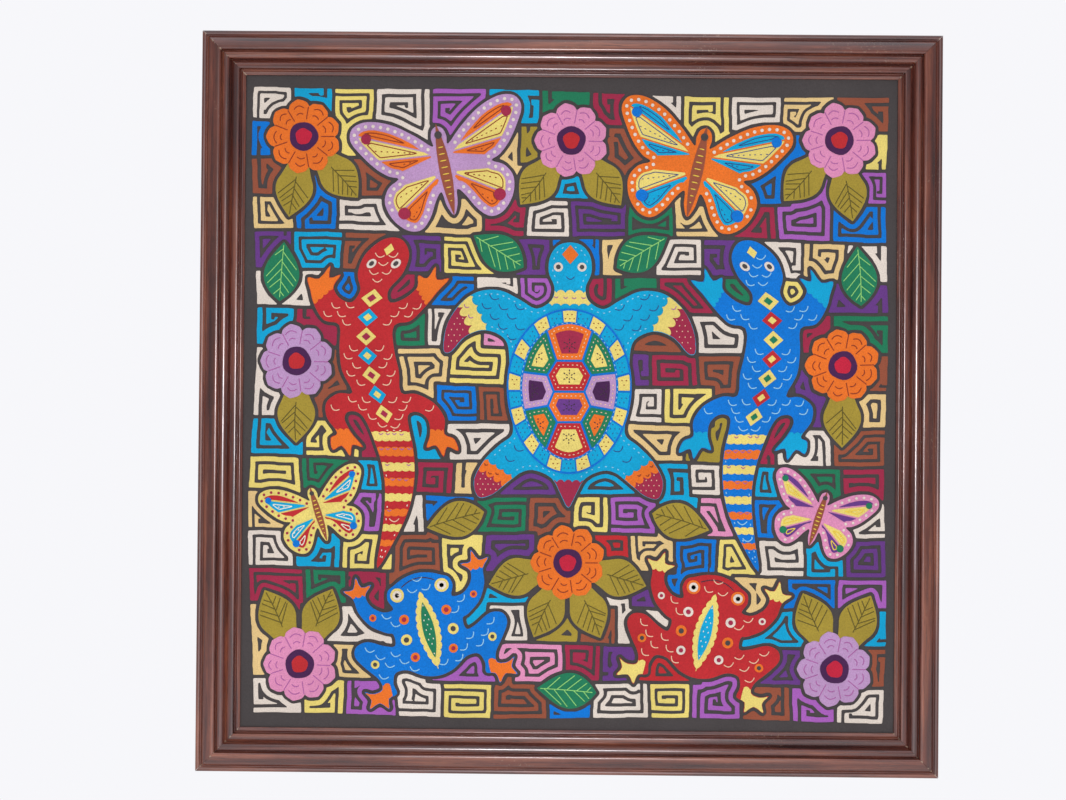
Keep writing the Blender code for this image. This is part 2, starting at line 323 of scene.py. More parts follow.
def placed(name, data):
    piece = bpy.data.objects.new(name, data)
    bpy.context.scene.collection.objects.link(piece)
    return piece


def deselect():
    bpy.ops.object.select_all(action="DESELECT")


def pick(*pieces):
    deselect()
    for piece in pieces:
        piece.select_set(True)
    bpy.context.view_layer.objects.active = pieces[0]


def joined(name, parts):
    pick(*parts)
    if len(parts) > 1:
        bpy.ops.object.join()
    piece = bpy.context.view_layer.objects.active
    piece.name = name
    piece.data.name = name
    return piece


def turnOutward(weld=0.0):
    # weld the points that coincide, then let all faces look outward
    bpy.ops.object.mode_set(mode="EDIT")
    bpy.ops.mesh.select_all(action="SELECT")
    if weld:
        bpy.ops.mesh.remove_doubles(threshold=weld)
    bpy.ops.mesh.normals_make_consistent(inside=False)
    bpy.ops.object.mode_set(mode="OBJECT")


def settle(piece, nodes=()):
    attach(piece, "root")
    if nodes:
        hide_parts(*nodes)
    return piece


# The moulded frame

moulding = {
    "rebate": 35.5,  # width of the back face
    "lipUnder": 14.5,  # from the wall to the lip's underside
    "sight": 42.6,  # outside edge to the lip's edge
    "seam": 0.12,  # half the gap at a mitre
    "cuts": 36,  # slices along a rail, so that it can be a little uneven
    "drift": 0.06,  # how much the hand-rubbed faces wander
    "driftWaves": ((31, 1, 1.0), (13.7, 2, 0.6)),  # length, shift in phases and size in times
    "phase": 1.7,  # from one rail to the next
    "front": 20,  # the faces this far out from the wall wander; the back stays flat on it
    "smooth": 38,  # degrees
}


def arc(centre, radius, start, end, steps):
    angles = [math.radians(start + (end - start) * i / steps) for i in range(steps + 1)]
    return [(centre[0] + radius * math.cos(a), centre[1] + radius * math.sin(a)) for a in angles]


def mouldingSection():
    # across from the outer edge and out from the wall, mm
    return [
        (0, 0), (moulding["rebate"], 0), (moulding["rebate"], moulding["lipUnder"]),
        (moulding["sight"], moulding["lipUnder"]),
        *arc((moulding["sight"] - 0.5, 16.6), 0.5, 0, 60, 4),  # lip
        (41.6, 17.45), (41.0, 17.85), (40.5, 18.2), (40.1, 18.4), (39.7, 18.42), (39.2, 18.25),
        (38.7, 18.0), (38.2, 17.8), (37.85, 17.95), (37.6, 18.7), (37.4, 20.0), (37.33, 21.3),
        *arc((36.0, 22.27), 1.3, 0, 68, 6),  # inner arris
        (36.03, 23.57), (35.4, 23.62), (34.7, 23.63), (34.0, 23.59), (33.0, 23.43), (32.0, 23.13),
        (31.0, 22.7), (30.2, 22.23), (29.6, 21.79), (29.25, 21.5), (28.95, 22.1), (28.65, 23.1),
        (28.3, 24.2), (28.0, 25.1), (27.65, 25.8), (27.2, 26.45),
        *arc((24.2, 22.3), 5.2, 60, 121, 10),  # flattened bead
        (21.2, 26.4), (20.8, 25.9), (20.45, 25.5), (20.2, 25.5), (20.0, 26.1), (19.85, 26.9),
        *arc((17.6, 27.8), 2.2, 20, 65, 5),  # outer arris
        *arc((17.2, 25.0), 5.0, 75, 105, 6),
        (15.0, 29.65), (14.2, 29.45), (12.8, 29.1), (11.4, 28.6), (10.2, 28.05), (9.0, 27.4),
        (8.0, 26.65), (7.1, 25.8), (6.3, 25.0), (5.6, 24.2),
        *arc((2.5, 23.3), 2.5, 20, 180, 12),  # outside bead
    ]


def railBlank():
    # the top rail about the panel's middle: the section run along X, then cut off at both mitres
    points = mouldingSection()
    deselect()
    bpy.ops.mesh.primitive_circle_add(vertices=len(points), fill_type="NGON")
    blank = bpy.context.object
    for vertex, (u, h) in zip(blank.data.vertices, points):
        vertex.co = (-outerHalf * mm, -h * mm, (outerHalf - u) * mm)
    pick(blank)
    bpy.ops.object.mode_set(mode="EDIT")
    bpy.ops.mesh.select_all(action="SELECT")
    bpy.ops.mesh.extrude_region_move(TRANSFORM_OT_translate={"value": (2 * outerHalf * mm, 0, 0)})
    for side in (-1, 1):
        bpy.ops.mesh.select_all(action="SELECT")
        back = -side * moulding["seam"] * math.sqrt(2) * mm
        bpy.ops.mesh.bisect(plane_co=(back, 0, 0), plane_no=(side, 0, -1), use_fill=True, clear_outer=True)
    bpy.ops.mesh.select_all(action="DESELECT")
    bpy.ops.mesh.select_mode(type="EDGE")
    bpy.ops.object.mode_set(mode="OBJECT")
    for edge in blank.data.edges:
        ends = [blank.data.vertices[v].co for v in edge.vertices]
        edge.select = abs(ends[0].x - ends[1].x) > outerHalf * mm
    bpy.ops.object.mode_set(mode="EDIT")
    bpy.ops.mesh.subdivide(number_cuts=moulding["cuts"])
    bpy.ops.object.mode_set(mode="OBJECT")
    turnOutward()
    return blank


def unevenRail(rail, phase):
    # the varnished faces aren't dead straight
    for vertex in rail.data.vertices:
        if vertex.co.y < -moulding["front"] * mm:
            along = vertex.co.x / mm
            waves = moulding["driftWaves"]
            lift = sum(size * math.sin(along / length + shift * phase) for length, shift, size in waves)
            vertex.co.y += moulding["drift"] * lift * mm


def buildFrame():
    finishes = [wood("wood_level", "X"), wood("wood_upright", "Z")]
    blank = railBlank()
    for turns, name in enumerate(("rail_top", "rail_left", "rail_bottom", "rail_right")):
        rail = placed("moulded_" + name, blank.data.copy())
        unevenRail(rail, moulding["phase"] * turns)
        turned = Matrix.Rotation(-turns * math.pi / 2, 4, "Y")
        rail.data.transform(Matrix.Translation((0, 0, centreZ)) @ turned)
        rail.data.materials.clear()
        rail.data.materials.append(finishes[turns % 2])
        pick(rail)
        bpy.ops.object.shade_smooth_by_angle(angle=math.radians(moulding["smooth"]))
        settle(rail, [name])
    print("faces in a rail:", len(blank.data.polygons))
    bpy.data.objects.remove(blank)
    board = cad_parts["backing_board"]
    board.data.materials.clear()
    board.data.materials.append(hardboard("hardboard"))


buildFrame()
print("frame built")


# The ground cloth

ground = {
    "cuts": 60,
    "ripple": 0.12,  # mm
    "rippleLengths": (23, 47, 29, 61),
    "thickness": (clothHigh.y - clothLow.y) / mm,
    "side": (clothHigh.x - clothLow.x) / mm,
    "thinner": 0.3,  # mm, so that its ripples stay within the cloth's plate
}


def buildGround():
    deselect()
    bpy.ops.mesh.primitive_plane_add(size=ground["side"] * mm)
    cloth = bpy.context.object
    cloth.name = "ground_cloth_sheet"
    pick(cloth)
    bpy.ops.object.mode_set(mode="EDIT")
    bpy.ops.mesh.select_all(action="SELECT")
    bpy.ops.mesh.subdivide(number_cuts=ground["cuts"])
    bpy.ops.object.mode_set(mode="OBJECT")
    front = -groundFront + ground["thinner"] / 2
    one, two, three, four = ground["rippleLengths"]
    for vertex in cloth.data.vertices:
        a, b = vertex.co.x / mm, vertex.co.y / mm
        ripple = math.sin(a / one + 1.3 * math.sin(b / two)) * math.sin(b / three + math.sin(a / four))
        vertex.co = (a * mm, (front - ground["ripple"] * ripple) * mm, b * mm + centreZ)
    solid = cloth.modifiers.new("thickness", "SOLIDIFY")
    solid.thickness = (ground["thickness"] - ground["thinner"]) * mm
    solid.offset = -1
    bpy.ops.object.modifier_apply(modifier=solid.name)
    turnOutward()
    cloth.data.materials.append(cottons["charcoal"])
    bpy.ops.object.shade_smooth_by_angle(angle=math.radians(40))
    return settle(cloth, ["ground_cloth"])


groundCloth = buildGround()
print("ground cloth stretched")


# Cut outlines: points are (across, up) in mm from the panel's middle

def nodeOutline(name):
    # the front edge of a plate in the frame, anticlockwise
    plate = bmesh.new()
    plate.from_mesh(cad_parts[name].data)
    bmesh.ops.remove_doubles(plate, verts=plate.verts, dist=0.01 * mm)
    front = min(vertex.co.y for vertex in plate.verts) + 0.05 * mm
    faces = {face for face in plate.faces if all(vertex.co.y < front for vertex in face.verts)}
    follow = {}
    for face in faces:
        for corner in face.loops:
            if any(other not in faces for other in corner.edge.link_faces):
                follow[corner.vert] = corner.link_loop_next.vert
    start = min(follow, key=lambda corner: tuple(corner.co))  # the same point in every run
    points, vertex = [], start
    while True:
        points.append((vertex.co.x / mm, (vertex.co.z - centreZ) / mm))
        vertex = follow[vertex]
        if vertex == start:
            break
    plate.free()
    return np.array(points)


def turning(points):
    back = points - np.roll(points, 1, axis=0)
    ahead = np.roll(points, -1, axis=0) - points
    turn = np.arctan2(back[:, 0] * ahead[:, 1] - back[:, 1] * ahead[:, 0], (back * ahead).sum(axis=1))
    return np.abs(turn)


def rounded(points, steps=3, sharp=42):
    # a smooth curve through the points that keeps the sharp corners
    corner = turning(points) > math.radians(sharp)
    count = len(points)
    curve = []
    for i in range(count):
        p1, p2 = points[i], points[(i + 1) % count]
        p0 = 2 * p1 - p2 if corner[i] else points[i - 1]
        p3 = 2 * p2 - p1 if corner[(i + 1) % count] else points[(i + 2) % count]
        for step in range(steps):
            t = step / steps
            curve.append(
                (-0.5 * t + t * t - 0.5 * t**3) * p0
                + (1 - 2.5 * t * t + 1.5 * t**3) * p1
                + (0.5 * t + 2 * t * t - 1.5 * t**3) * p2
                + (0.5 * t**3 - 0.5 * t * t) * p3
            )
    return np.array(curve)


def closed(loop):
    return np.vstack([loop, loop[:1]])


def travel(path):
    # how far along a path each of its points lies
    return np.concatenate([[0], np.cumsum(np.hypot(*np.diff(path, axis=0).T))])


def pointsAlong(path, travelled, stops):
    return np.column_stack([np.interp(stops, travelled, path[:, k]) for k in (0, 1)])


def ray(angle):
    return np.array([math.cos(angle), math.sin(angle)])


# Fields: an area as numbers on a grid, positive inside it

cell = 0.5  # mm
outside = -9  # the value where a field is left out


def gridLine(low, high):
    return np.arange(low + cell / 2, high, cell)


def only(where, field):
    return np.where(where, field, outside)


def filled(loop, xs, zs):
    # even-odd fill: an edge flips every cell to its right on the rows that it crosses
    flips = np.zeros((len(zs), len(xs) + 1), np.int32)
    for (x0, z0), (x1, z1) in zip(loop, np.roll(loop, -1, axis=0)):
        if z0 == z1:
            continue
        first, last = np.searchsorted(zs, (min(z0, z1), max(z0, z1)))
        crossed = x0 + (zs[first:last] - z0) * (x1 - x0) / (z1 - z0)
        flips[np.arange(first, last), np.searchsorted(xs, crossed)] += 1
    return np.cumsum(flips[:, :-1], axis=1) % 2 == 1


def depthInside(inside):
    # the distance of each cell to the nearest cell outside, mm
    rows, columns = inside.shape
    gap = np.where(inside, rows + columns, 0)
    for row in range(1, rows):
        gap[row] = np.minimum(gap[row], gap[row - 1] + 1)
    for row in range(rows - 2, -1, -1):
        gap[row] = np.minimum(gap[row], gap[row + 1] + 1)
    steps = np.arange(columns)
    offsets = (steps[:, None] - steps[None, :]) ** 2
    nearest = np.array([(offsets + line[None, :] ** 2).min(axis=1) for line in gap])
    return np.sqrt(nearest) * cell - cell / 2


def softened(field, times):
    for _ in range(times):
        for axis in (0, 1):
            field = (np.roll(field, 1, axis) + 2 * field + np.roll(field, -1, axis)) / 4
    return field


def spread(blocked, reach):
    # widen a mask by a distance
    out = blocked.copy()
    steps = int(reach / cell)
    for dx in range(-steps, steps + 1):
        for dz in range(-steps, steps + 1):
            if (dx * dx + dz * dz) * cell * cell <= reach * reach:
                out |= np.roll(np.roll(blocked, dz, 0), dx, 1)
    return out


# segments of each case of inside corners: bottom left 1, bottom right 2, top right 4, top left 8
crossings = {
    1: ("BL",), 2: ("RB",), 4: ("TR",), 8: ("LT",), 3: ("RL",), 6: ("TB",), 12: ("LR",), 9: ("BT",),
    7: ("TL",), 11: ("RT",), 13: ("BR",), 14: ("LB",), 5: ("BL", "TR"), 10: ("RB", "LT"),
}


def traced(field, xs, zs, least):
    # the closed lines round more than the least area where a field passes zero, the area on their left
    field = np.pad(field, 1, constant_values=-1.0)
    xs = np.concatenate([[xs[0] - cell], xs, [xs[-1] + cell]])
    zs = np.concatenate([[zs[0] - cell], zs, [zs[-1] + cell]])
    inside = field > 0
    wide = len(xs)
    case = inside[:-1, :-1] + 2 * inside[:-1, 1:] + 4 * inside[1:, 1:] + 8 * inside[1:, :-1]
    follow = {}
    for kind, lines in crossings.items():
        rows, columns = np.nonzero(case == kind)
        base = 2 * (rows * wide + columns)
        sides = {"B": base, "T": base + 2 * wide, "L": base + 1, "R": base + 3}
        for start, end in lines:
            follow.update(zip(sides[start].tolist(), sides[end].tolist()))
    loops = []
    while follow:
        key = next(iter(follow))
        keys = []
        while key in follow:
            keys.append(key)
            key = follow.pop(key)
        keys = np.array(keys)
        rows, columns = np.divmod(keys // 2, wide)
        upright = keys % 2 == 1
        here = field[rows, columns]
        above = field[np.minimum(rows + 1, len(zs) - 1), columns]
        beside = field[rows, np.minimum(columns + 1, wide - 1)]
        share = here / (here - np.where(upright, above, beside)) * cell
        across = xs[columns] + np.where(upright, 0, share)
        up = zs[rows] + np.where(upright, share, 0)
        points = np.column_stack([across, up])
        if abs(loopArea(points)) > least:
            loops.append(points)
    return loops


def loopArea(points):
    x, z = points.T
    return 0.5 * float(np.sum(x * np.roll(z, -1) - np.roll(x, -1) * z))


def thinned(points, slack):
    # drop the points that lie within slack of the line through their neighbours
    count = len(points)
    far = int(np.argmax(((points - points[0]) ** 2).sum(axis=1)))
    ring = closed(points)
    keep = {0, far}
    spans = [(0, far), (far, count)]
    while spans:
        first, last = spans.pop()
        if last - first < 2:
            continue
        start, end = ring[first], ring[last]
        line = end - start
        length = max(float(np.hypot(*line)), 1e-6)
        offset = ring[first + 1:last] - start
        away = np.abs(offset[:, 0] * line[1] - offset[:, 1] * line[0]) / length
        worst = int(np.argmax(away))
        if away[worst] > slack:
            middle = first + 1 + worst
            keep.add(middle)
            spans += [(first, middle), (middle, last)]
    return points[sorted(keep)]


def parted(points, most):
    # no stretch longer than most
    out = []
    for start, end in zip(points, np.roll(points, -1, axis=0)):
        pieces = max(1, math.ceil(float(np.hypot(*(end - start))) / most))
        out += [start + (end - start) * i / pieces for i in range(pieces)]
    return np.array(out)


def handCut(points, amount):
    # scissors and needle never follow a line exactly
    x, z = points.T
    across = np.sin(x / 5.3 + z / 9.1) + 0.7 * np.sin(z / 4.1 - x / 13.0 + 1.1)
    up = np.sin(z / 5.9 - x / 8.3 + 0.4) + 0.7 * np.sin(x / 4.7 + z / 12.0 + 2.3)
    return points + amount * np.column_stack([across, up]) / 1.7


# Sewn patches

# radius of the turned edge by layer, mm
turnedEdge = {
    "labyrinth": 0.3, "leaf": 0.45, "figure": 0.5, "patch": 0.22, "topPatch": 0.22, "rosette": 0.55,
    "ring": 0.35, "disc": 0.22, "shell": 0.5, "scute": 0.22, "scuteHeart": 0.22,
}


def sewn(name, loops, back, level, finish, bevels=1):
    # a filled flat curve with a turned edge, made a mesh and stood up facing the viewer
    front, edge = layers[level], turnedEdge[level]
    curve = bpy.data.curves.new(name, "CURVE")
    curve.dimensions = "2D"
    curve.fill_mode = "BOTH"
    curve.extrude = ((front - back) / 2 - edge) * mm
    curve.bevel_depth = edge * mm
    curve.bevel_resolution = bevels
    curve.offset = -edge * mm
    for loop in loops:
        spline = curve.splines.new("POLY")
        spline.points.add(len(loop) - 1)
        flat = np.column_stack([loop * mm, np.zeros(len(loop)), np.ones(len(loop))])
        spline.points.foreach_set("co", flat.ravel().astype(np.float32))
        spline.use_cyclic_u = True
    pick(placed(name, curve))
    bpy.ops.object.convert(target="MESH")
    patch = bpy.context.object
    patch.rotation_euler = (math.pi / 2, 0, 0)
    patch.location = (0, -(front + back) / 2 * mm, centreZ)
    bpy.ops.object.transform_apply(location=True, rotation=True, scale=True)
    turnOutward(0.01 * mm)
    patch.data.materials.clear()
    patch.data.materials.append(finish)
    bpy.ops.object.shade_smooth()
    weighted = patch.modifiers.new("edges", "WEIGHTED_NORMAL")
    weighted.weight = 100
    bpy.ops.object.modifier_apply(modifier=weighted.name)
    patch.name = name
    return patch


# The outlines of everything that is sewn over the labyrinth

figureColours = {
    "turtle": "teal", "gecko_left": "scarlet", "gecko_right": "blue", "butterfly_left": "lilac",
    "butterfly_right": "orange", "butterfly_low_left": "lemon", "butterfly_low_right": "pink",
    "frog_left": "blue", "frog_right": "scarlet",
}
rosetteColours = {
    "rosette_top_left": "orange", "rosette_top": "pink", "rosette_top_right": "pink",
    "rosette_side_left": "lilac", "rosette_side_right": "orange", "rosette_low_left": "pink",
    "rosette_low": "orange", "rosette_low_right": "lilac",
}
emeraldLeaves = ("leaf_lone_1", "leaf_lone_2", "leaf_lone_5", "leaf_lone_6", "leaf_lone_7")
rosetteNames = sorted(rosetteColours)
leafNames = sorted(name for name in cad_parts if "leaf" in name)
overNames = (*figureColours, *rosetteNames, *leafNames, "turtle_shell")
outlines = {name: rounded(nodeOutline(name)) for name in overNames}
rosette = {
    "petals": 9,
    "uneven": 1.0,  # mm, of a petal's reach
    "point": 0.9,  # mm, at the middle of a petal
    "flats": 0.35,  # mm, on the ring
    "tucked": (37.9, 30.0),  # a leaf's foot this near the middle is run in under the petals, to this
}


def rosetteMiddle(name):
    low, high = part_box(name.split("_leaf")[0] + "_eye")
    return np.array([(low.x + high.x) / 2 / mm, ((low.z + high.z) / 2 - centreZ) / mm])


def handPetals(name):
    # no two petals of a rosette reach equally far, and each comes to a slight point
    offset = outlines[name] - rosetteMiddle(name)
    turn = np.arctan2(offset[:, 1], offset[:, 0]) / (2 * math.pi) * rosette["petals"]
    sizes = np.array([chance.uniform(-1, 1) for _ in range(rosette["petals"])])
    along = np.abs(turn % 1 - 0.5) * 2  # 0 at a petal's middle, 1 at a seam
    more = sizes[np.floor(turn).astype(int) % rosette["petals"]] * rosette["uneven"] * (1 - along**2)
    more += rosette["point"] * (np.maximum(0, 1 - along / 0.3) - 0.4)
    reach = np.hypot(*offset.T)
    return rosetteMiddle(name) + offset * ((reach + more * (1 - along**4)) / reach)[:, None]


def tuckedFoot(name):
    offset = outlines[name] - rosetteMiddle(name)
    reach = np.hypot(*offset.T)[:, None]
    near, inner = rosette["tucked"]
    return rosetteMiddle(name) + np.where(reach < near, offset * inner / reach, offset)


def handRound(name):
    # scissors leave slight flats on the ring round a rosette's middle
    middle = rosetteMiddle(name)
    offset = nodeOutline(name + "_eye") - middle
    turn = np.arctan2(offset[:, 1], offset[:, 0])
    more = rosette["flats"] * (np.sin(3 * turn + middle[0]) + 0.8 * np.sin(5 * turn + middle[1]))
    return middle + offset * (1 + more / np.hypot(*offset.T))[:, None]


outlines.update({name: handPetals(name) for name in rosetteNames})
outlines.update({name: tuckedFoot(name) for name in leafNames if name.startswith("rosette")})
print("outlines read:", len(outlines))


# The labyrinth

labyrinth = {
    "halfWide": 319.5,  # of the coloured field
    "low": -317.5,
    "high": 314.5,
    "beside": 6,  # more grid at either side of the field
    "beyond": 12,  # and above and below it
    "rows": 17,
    "rowDrift": 2.2,
    "endDrift": 0.4,  # share of the drift at the field's lowest and highest line
    "wave": (1.6, 62),  # how much a row's line bends, and over which length
    "slope": (-0.004, -0.015),  # of the lowest and the highest row's line: the field isn't quite square
    "columns": (13, 14),
    "widths": (0.82, 1.18),  # of the tiles in a row, to one another
    "lean": 0.07,  # slope of the upright lines
    "sideWaves": ((0, 3.4, 60), (-1, 1.6, 44)),  # size and length of the wander of the two sides
    "sideHeight": 70,  # where it is widest
    "gap": 3.3,  # ground showing between tiles and round the figures
    "pitch": 7.7,  # from one band to the next
    "bandShare": 0.585,
    "bandVary": (0.95, 1.05),
    "mergeBelow": 430,  # a smaller offcut, mm2, goes with its neighbour
    "mergedMost": 2500,
    "shared": 8,  # mm of border that it has to share with it
    "leastTile": 40,
    "leastBand": 16,  # mm2
    "slack": 0.16,
    "longest": 13,  # mm from one cut to the next
    "wobble": 0.38,
    "closed": 0.12,  # share of the tiles cut as closed rings
    "apart": 66,  # mm between tiles of one colour, where there is a choice
    "whole": ((3, 3), (3, 9), (3, 17), (9, 3), (17, 3)),  # spots in from a corner where a spiral can start
    "free": ((-1.5, 4), (-1.5, 16), (4, -1.5), (16, -1.5)),  # and spots outside the tile
}
labyrinthMix = {
    "cream": 6, "lemon": 4, "tan": 2.5, "teal": 3.5, "blue": 4, "crimson": 4, "violet": 3.5, "orchid": 2,
    "pink": 0.8, "emerald": 3, "brown": 3.5, "olive": 1, "scarlet": 1,
}
rowStart = 32  # tiles are numbered from this times their row


class Layout:
    # rows and columns of tiles over the field, and which tile each grid cell is in
    def __init__(self):
        wide, low, high, rows = (labyrinth[part] for part in ("halfWide", "low", "high", "rows"))
        beside, beyond = labyrinth["beside"], labyrinth["beyond"]
        self.xs = gridLine(-wide - beside, wide + beside)
        self.zs = gridLine(low - beyond, high + beyond)
        self.across, self.up = np.meshgrid(self.xs, self.zs)
        step = (high - low) / rows
        first, last = labyrinth["slope"]
        self.rowLines = []
        for k in range(rows + 1):
            drift = chance.uniform(-1, 1) * labyrinth["rowDrift"]
            drift *= labyrinth["endDrift"] if k in (0, rows) else 1
            slope = first + (last - first) * k / rows
            self.rowLines.append((low + k * step + drift, slope, chance.uniform(0, 6.28)))
        self.columnLines = [self.uprights(wide, low + (k + 0.5) * step) for k in range(rows)]
        above = [(self.up > self.rowHeight(k, self.across)).astype(int) for k in range(rows + 1)]
        rowOf = sum(above) - 1
        self.tileOf = np.zeros(self.across.shape, int)
        for k, lines in enumerate(self.columnLines):
            columnOf = sum((self.across > self.columnPlace(line, self.up)).astype(int) for line in lines) - 1
            good = (rowOf == k) & (columnOf >= 0) & (columnOf < len(lines) - 1)
            self.tileOf[good] = (k * rowStart + columnOf + 1)[good]

    def uprights(self, wide, middle):
        # the upright lines of a row: place, lean and the height of the row's middle
        count = chance.choice(labyrinth["columns"])
        widths = np.array([chance.uniform(*labyrinth["widths"]) for _ in range(count)])
        places = np.concatenate([[0], np.cumsum(widths)]) / widths.sum() * 2 * wide - wide
        leans = [chance.uniform(-1, 1) * labyrinth["lean"] for _ in places]
        for end, sway, length in labyrinth["sideWaves"]:
            places[end] += sway * math.cos((middle - labyrinth["sideHeight"]) / length)
            leans[end] = -sway / length * math.sin((middle - labyrinth["sideHeight"]) / length)
        return [(place, lean, middle) for place, lean in zip(places, leans)]

    def rowHeight(self, k, x):
        place, slope, phase = self.rowLines[k]
        size, length = labyrinth["wave"]
        return place + slope * x + size * np.sin(x / length + phase)

    def columnPlace(self, line, z):
        place, lean, middle = line
        return place + lean * (z - middle)

    def sideDistances(self, tile, x, z):
        row, column = divmod(tile - 1, rowStart)
        left, right = self.columnLines[row][column:column + 2]
        return {
            "left": x - self.columnPlace(left, z),
            "right": self.columnPlace(right, z) - x,
            "bottom": z - self.rowHeight(row, x),
            "top": self.rowHeight(row + 1, x) - z,
        }

    def corner(self, tile, level, upright):
        row, column = divmod(tile - 1, rowStart)
        line = self.columnLines[row][column + (upright == "right")]
        x = self.columnPlace(line, self.rowLines[row + (level == "top")][0])
        return x, self.rowHeight(row + (level == "top"), x)


def partedAreas(tileOf):
    # number every connected area that lies in one tile, by sweeping the highest number through it
    big = tileOf.size + 1
    number = np.where(tileOf > 0, np.arange(tileOf.size).reshape(tileOf.shape) + 1, 0)
    while True:
        before = number.copy()
        for axis in (0, 1):
            breaks = np.diff(tileOf, axis=axis, prepend=tileOf.take([0], axis)) != 0
            section = np.cumsum(breaks, axis=axis)
            number = np.maximum.accumulate(number + section * big, axis=axis) - section * big
            section = section.max(axis=axis, keepdims=True) - section
            turned = np.flip(number + section * big, axis=axis)
            number = np.flip(np.maximum.accumulate(turned, axis=axis), axis=axis) - section * big
        number[tileOf == 0] = 0
        if np.array_equal(before, number):
            return number


def sharedBorders(number):
    # how many cells of border each two areas share
    border = {}
    for first, second in ((number[1:], number[:-1]), (number[:, 1:], number[:, :-1])):
        touching = (first != second) & (first > 0) & (second > 0)
        pairs = np.sort(np.column_stack([first[touching], second[touching]]), axis=1)
        pairs, lengths = np.unique(pairs, axis=0, return_counts=True)
        for (a, b), length in zip(pairs.tolist(), lengths.tolist()):
            for one, other in ((a, b), (b, a)):
                near = border.setdefault(one, {})
                near[other] = near.get(other, 0) + length
    return border


def mergedAreas(number):
    # small offcuts go with the neighbour that they share most border with
    ids, counts = np.unique(number[number > 0], return_counts=True)
    size = dict(zip(ids.tolist(), (counts * cell * cell).tolist()))
    border = sharedBorders(number)
    for area in sorted(size, key=size.get):
        if size.get(area, labyrinth["mergeBelow"]) >= labyrinth["mergeBelow"]:
            continue
        choices = {
            other: length
            for other, length in border.get(area, {}).items()
            if other in size and size[other] + size[area] < labyrinth["mergedMost"]
            and length * cell > labyrinth["shared"]
        }
        if not choices:
            continue
        chosen = max(choices, key=choices.get)
        number[number == area] = chosen
        size[chosen] += size.pop(area)
        for other, length in border[area].items():
            if other != chosen:
                border[chosen][other] = border[chosen].get(other, 0) + length
                border[other][chosen] = border[other].get(chosen, 0) + length
    return {area: mm2 for area, mm2 in size.items() if mm2 > labyrinth["leastTile"]}


def spiralStart(layout, tile, number, area):
    # a corner of the tile with whole sides both ways, to let the ground spiral in
    def inArea(x, z):
        column, row = np.searchsorted(layout.xs, x), np.searchsorted(layout.zs, z)
        inField = 0 < row < len(layout.zs) and 0 < column < len(layout.xs)
        return inField and number[row, column] == area

    found = []
    for level in ("bottom", "top"):
        for upright in ("left", "right"):
            x, z = layout.corner(tile, level, upright)
            dx, dz = (1 if upright == "left" else -1), (1 if level == "bottom" else -1)
            whole = all(inArea(x + dx * a, z + dz * b) for a, b in labyrinth["whole"])
            if whole and not any(inArea(x + dx * a, z + dz * b) for a, b in labyrinth["free"]):
                found += [(level, upright), (upright, level)]
    return chance.choice(found) if found and chance.random() > labyrinth["closed"] else None


def bandField(layout, number, area):
    # positive on the coloured band of one tile
    rows, columns = np.nonzero(number == area)
    part = (slice(rows.min() - 3, rows.max() + 4), slice(columns.min() - 3, columns.max() + 4))
    inside = number[part] == area
    depth = softened(depthInside(inside), 2)
    reach = depth - labyrinth["gap"] / 2
    tiles, counts = np.unique(layout.tileOf[part][inside], return_counts=True)
    tile = int(tiles[np.argmax(counts)])
    start = spiralStart(layout, tile, number, area)
    share = labyrinth["bandShare"] * chance.uniform(*labyrinth["bandVary"])
    turns = max(share / 2, round((reach.max() / labyrinth["pitch"] - share / 2) * 2) / 2 + share / 2)
    pitch = max(reach.max(), 0.1) / turns
    band = pitch * share
    if start is not None:
        sides = layout.sideDistances(tile, layout.across[part], layout.up[part])
        first, last = sides[start[0]], sides[start[1]]
        wedge = (np.abs(depth - last) < 1.0) & (first > last) & (first < last + pitch)
        reach = np.where(wedge, first - labyrinth["gap"] / 2, reach)
    wrapped = (reach - band / 2 + pitch / 2) % pitch - pitch / 2
    field = np.minimum(band / 2 - np.abs(wrapped), depth - labyrinth["gap"] / 2)
    return softened(field, 1), layout.xs[part[1]], layout.zs[part[0]]


def buildLabyrinth():
    layout = Layout()
    blocked = np.zeros(layout.across.shape, bool)
    for outline in outlines.values():
        blocked |= filled(outline, layout.xs, layout.zs)
    layout.tileOf = np.where(spread(blocked, labyrinth["gap"] / 2), 0, layout.tileOf)
    number = partedAreas(layout.tileOf)
    sizes = mergedAreas(number)
    print("labyrinth tiles:", len(sizes))
    loopsOf = {colour: [] for colour in labyrinthMix}
    done = []
    for area in sorted(sizes):
        field, xs, zs = bandField(layout, number, area)
        loops = [thinned(loop, labyrinth["slack"]) for loop in traced(field, xs, zs, labyrinth["leastBand"])]
        loops = [parted(loop, labyrinth["longest"]) for loop in loops if len(loop) > 3]
        middle = (float(xs.mean()), float(zs.mean()))
        near = {colour for place, colour in done if math.dist(place, middle) < labyrinth["apart"]}
        choices = [colour for colour in labyrinthMix if colour not in near] or list(labyrinthMix)
        colour = chance.choices(choices, [labyrinthMix[c] for c in choices])[0]
        done.append((middle, colour))
        loopsOf[colour] += [handCut(loop, labyrinth["wobble"]) for loop in loops]
    pieces = []
    for colour, loops in loopsOf.items():
        tiles = sewn("labyrinth_" + colour, loops, layers["foot"], "labyrinth", cottons[colour], 0)
        pieces.append(settle(tiles))
    return pieces


labyrinthPieces = buildLabyrinth()
print("labyrinth sewn:", sum(len(piece.data.polygons) for piece in labyrinthPieces), "faces")


# Base patches

def sewBase(name, node, loop, back, level, colour):
    # the cloth that stands for one node of the frame
    base = sewn(name, [loop], layers[back], level, cottons[colour])
    settle(base, [node])


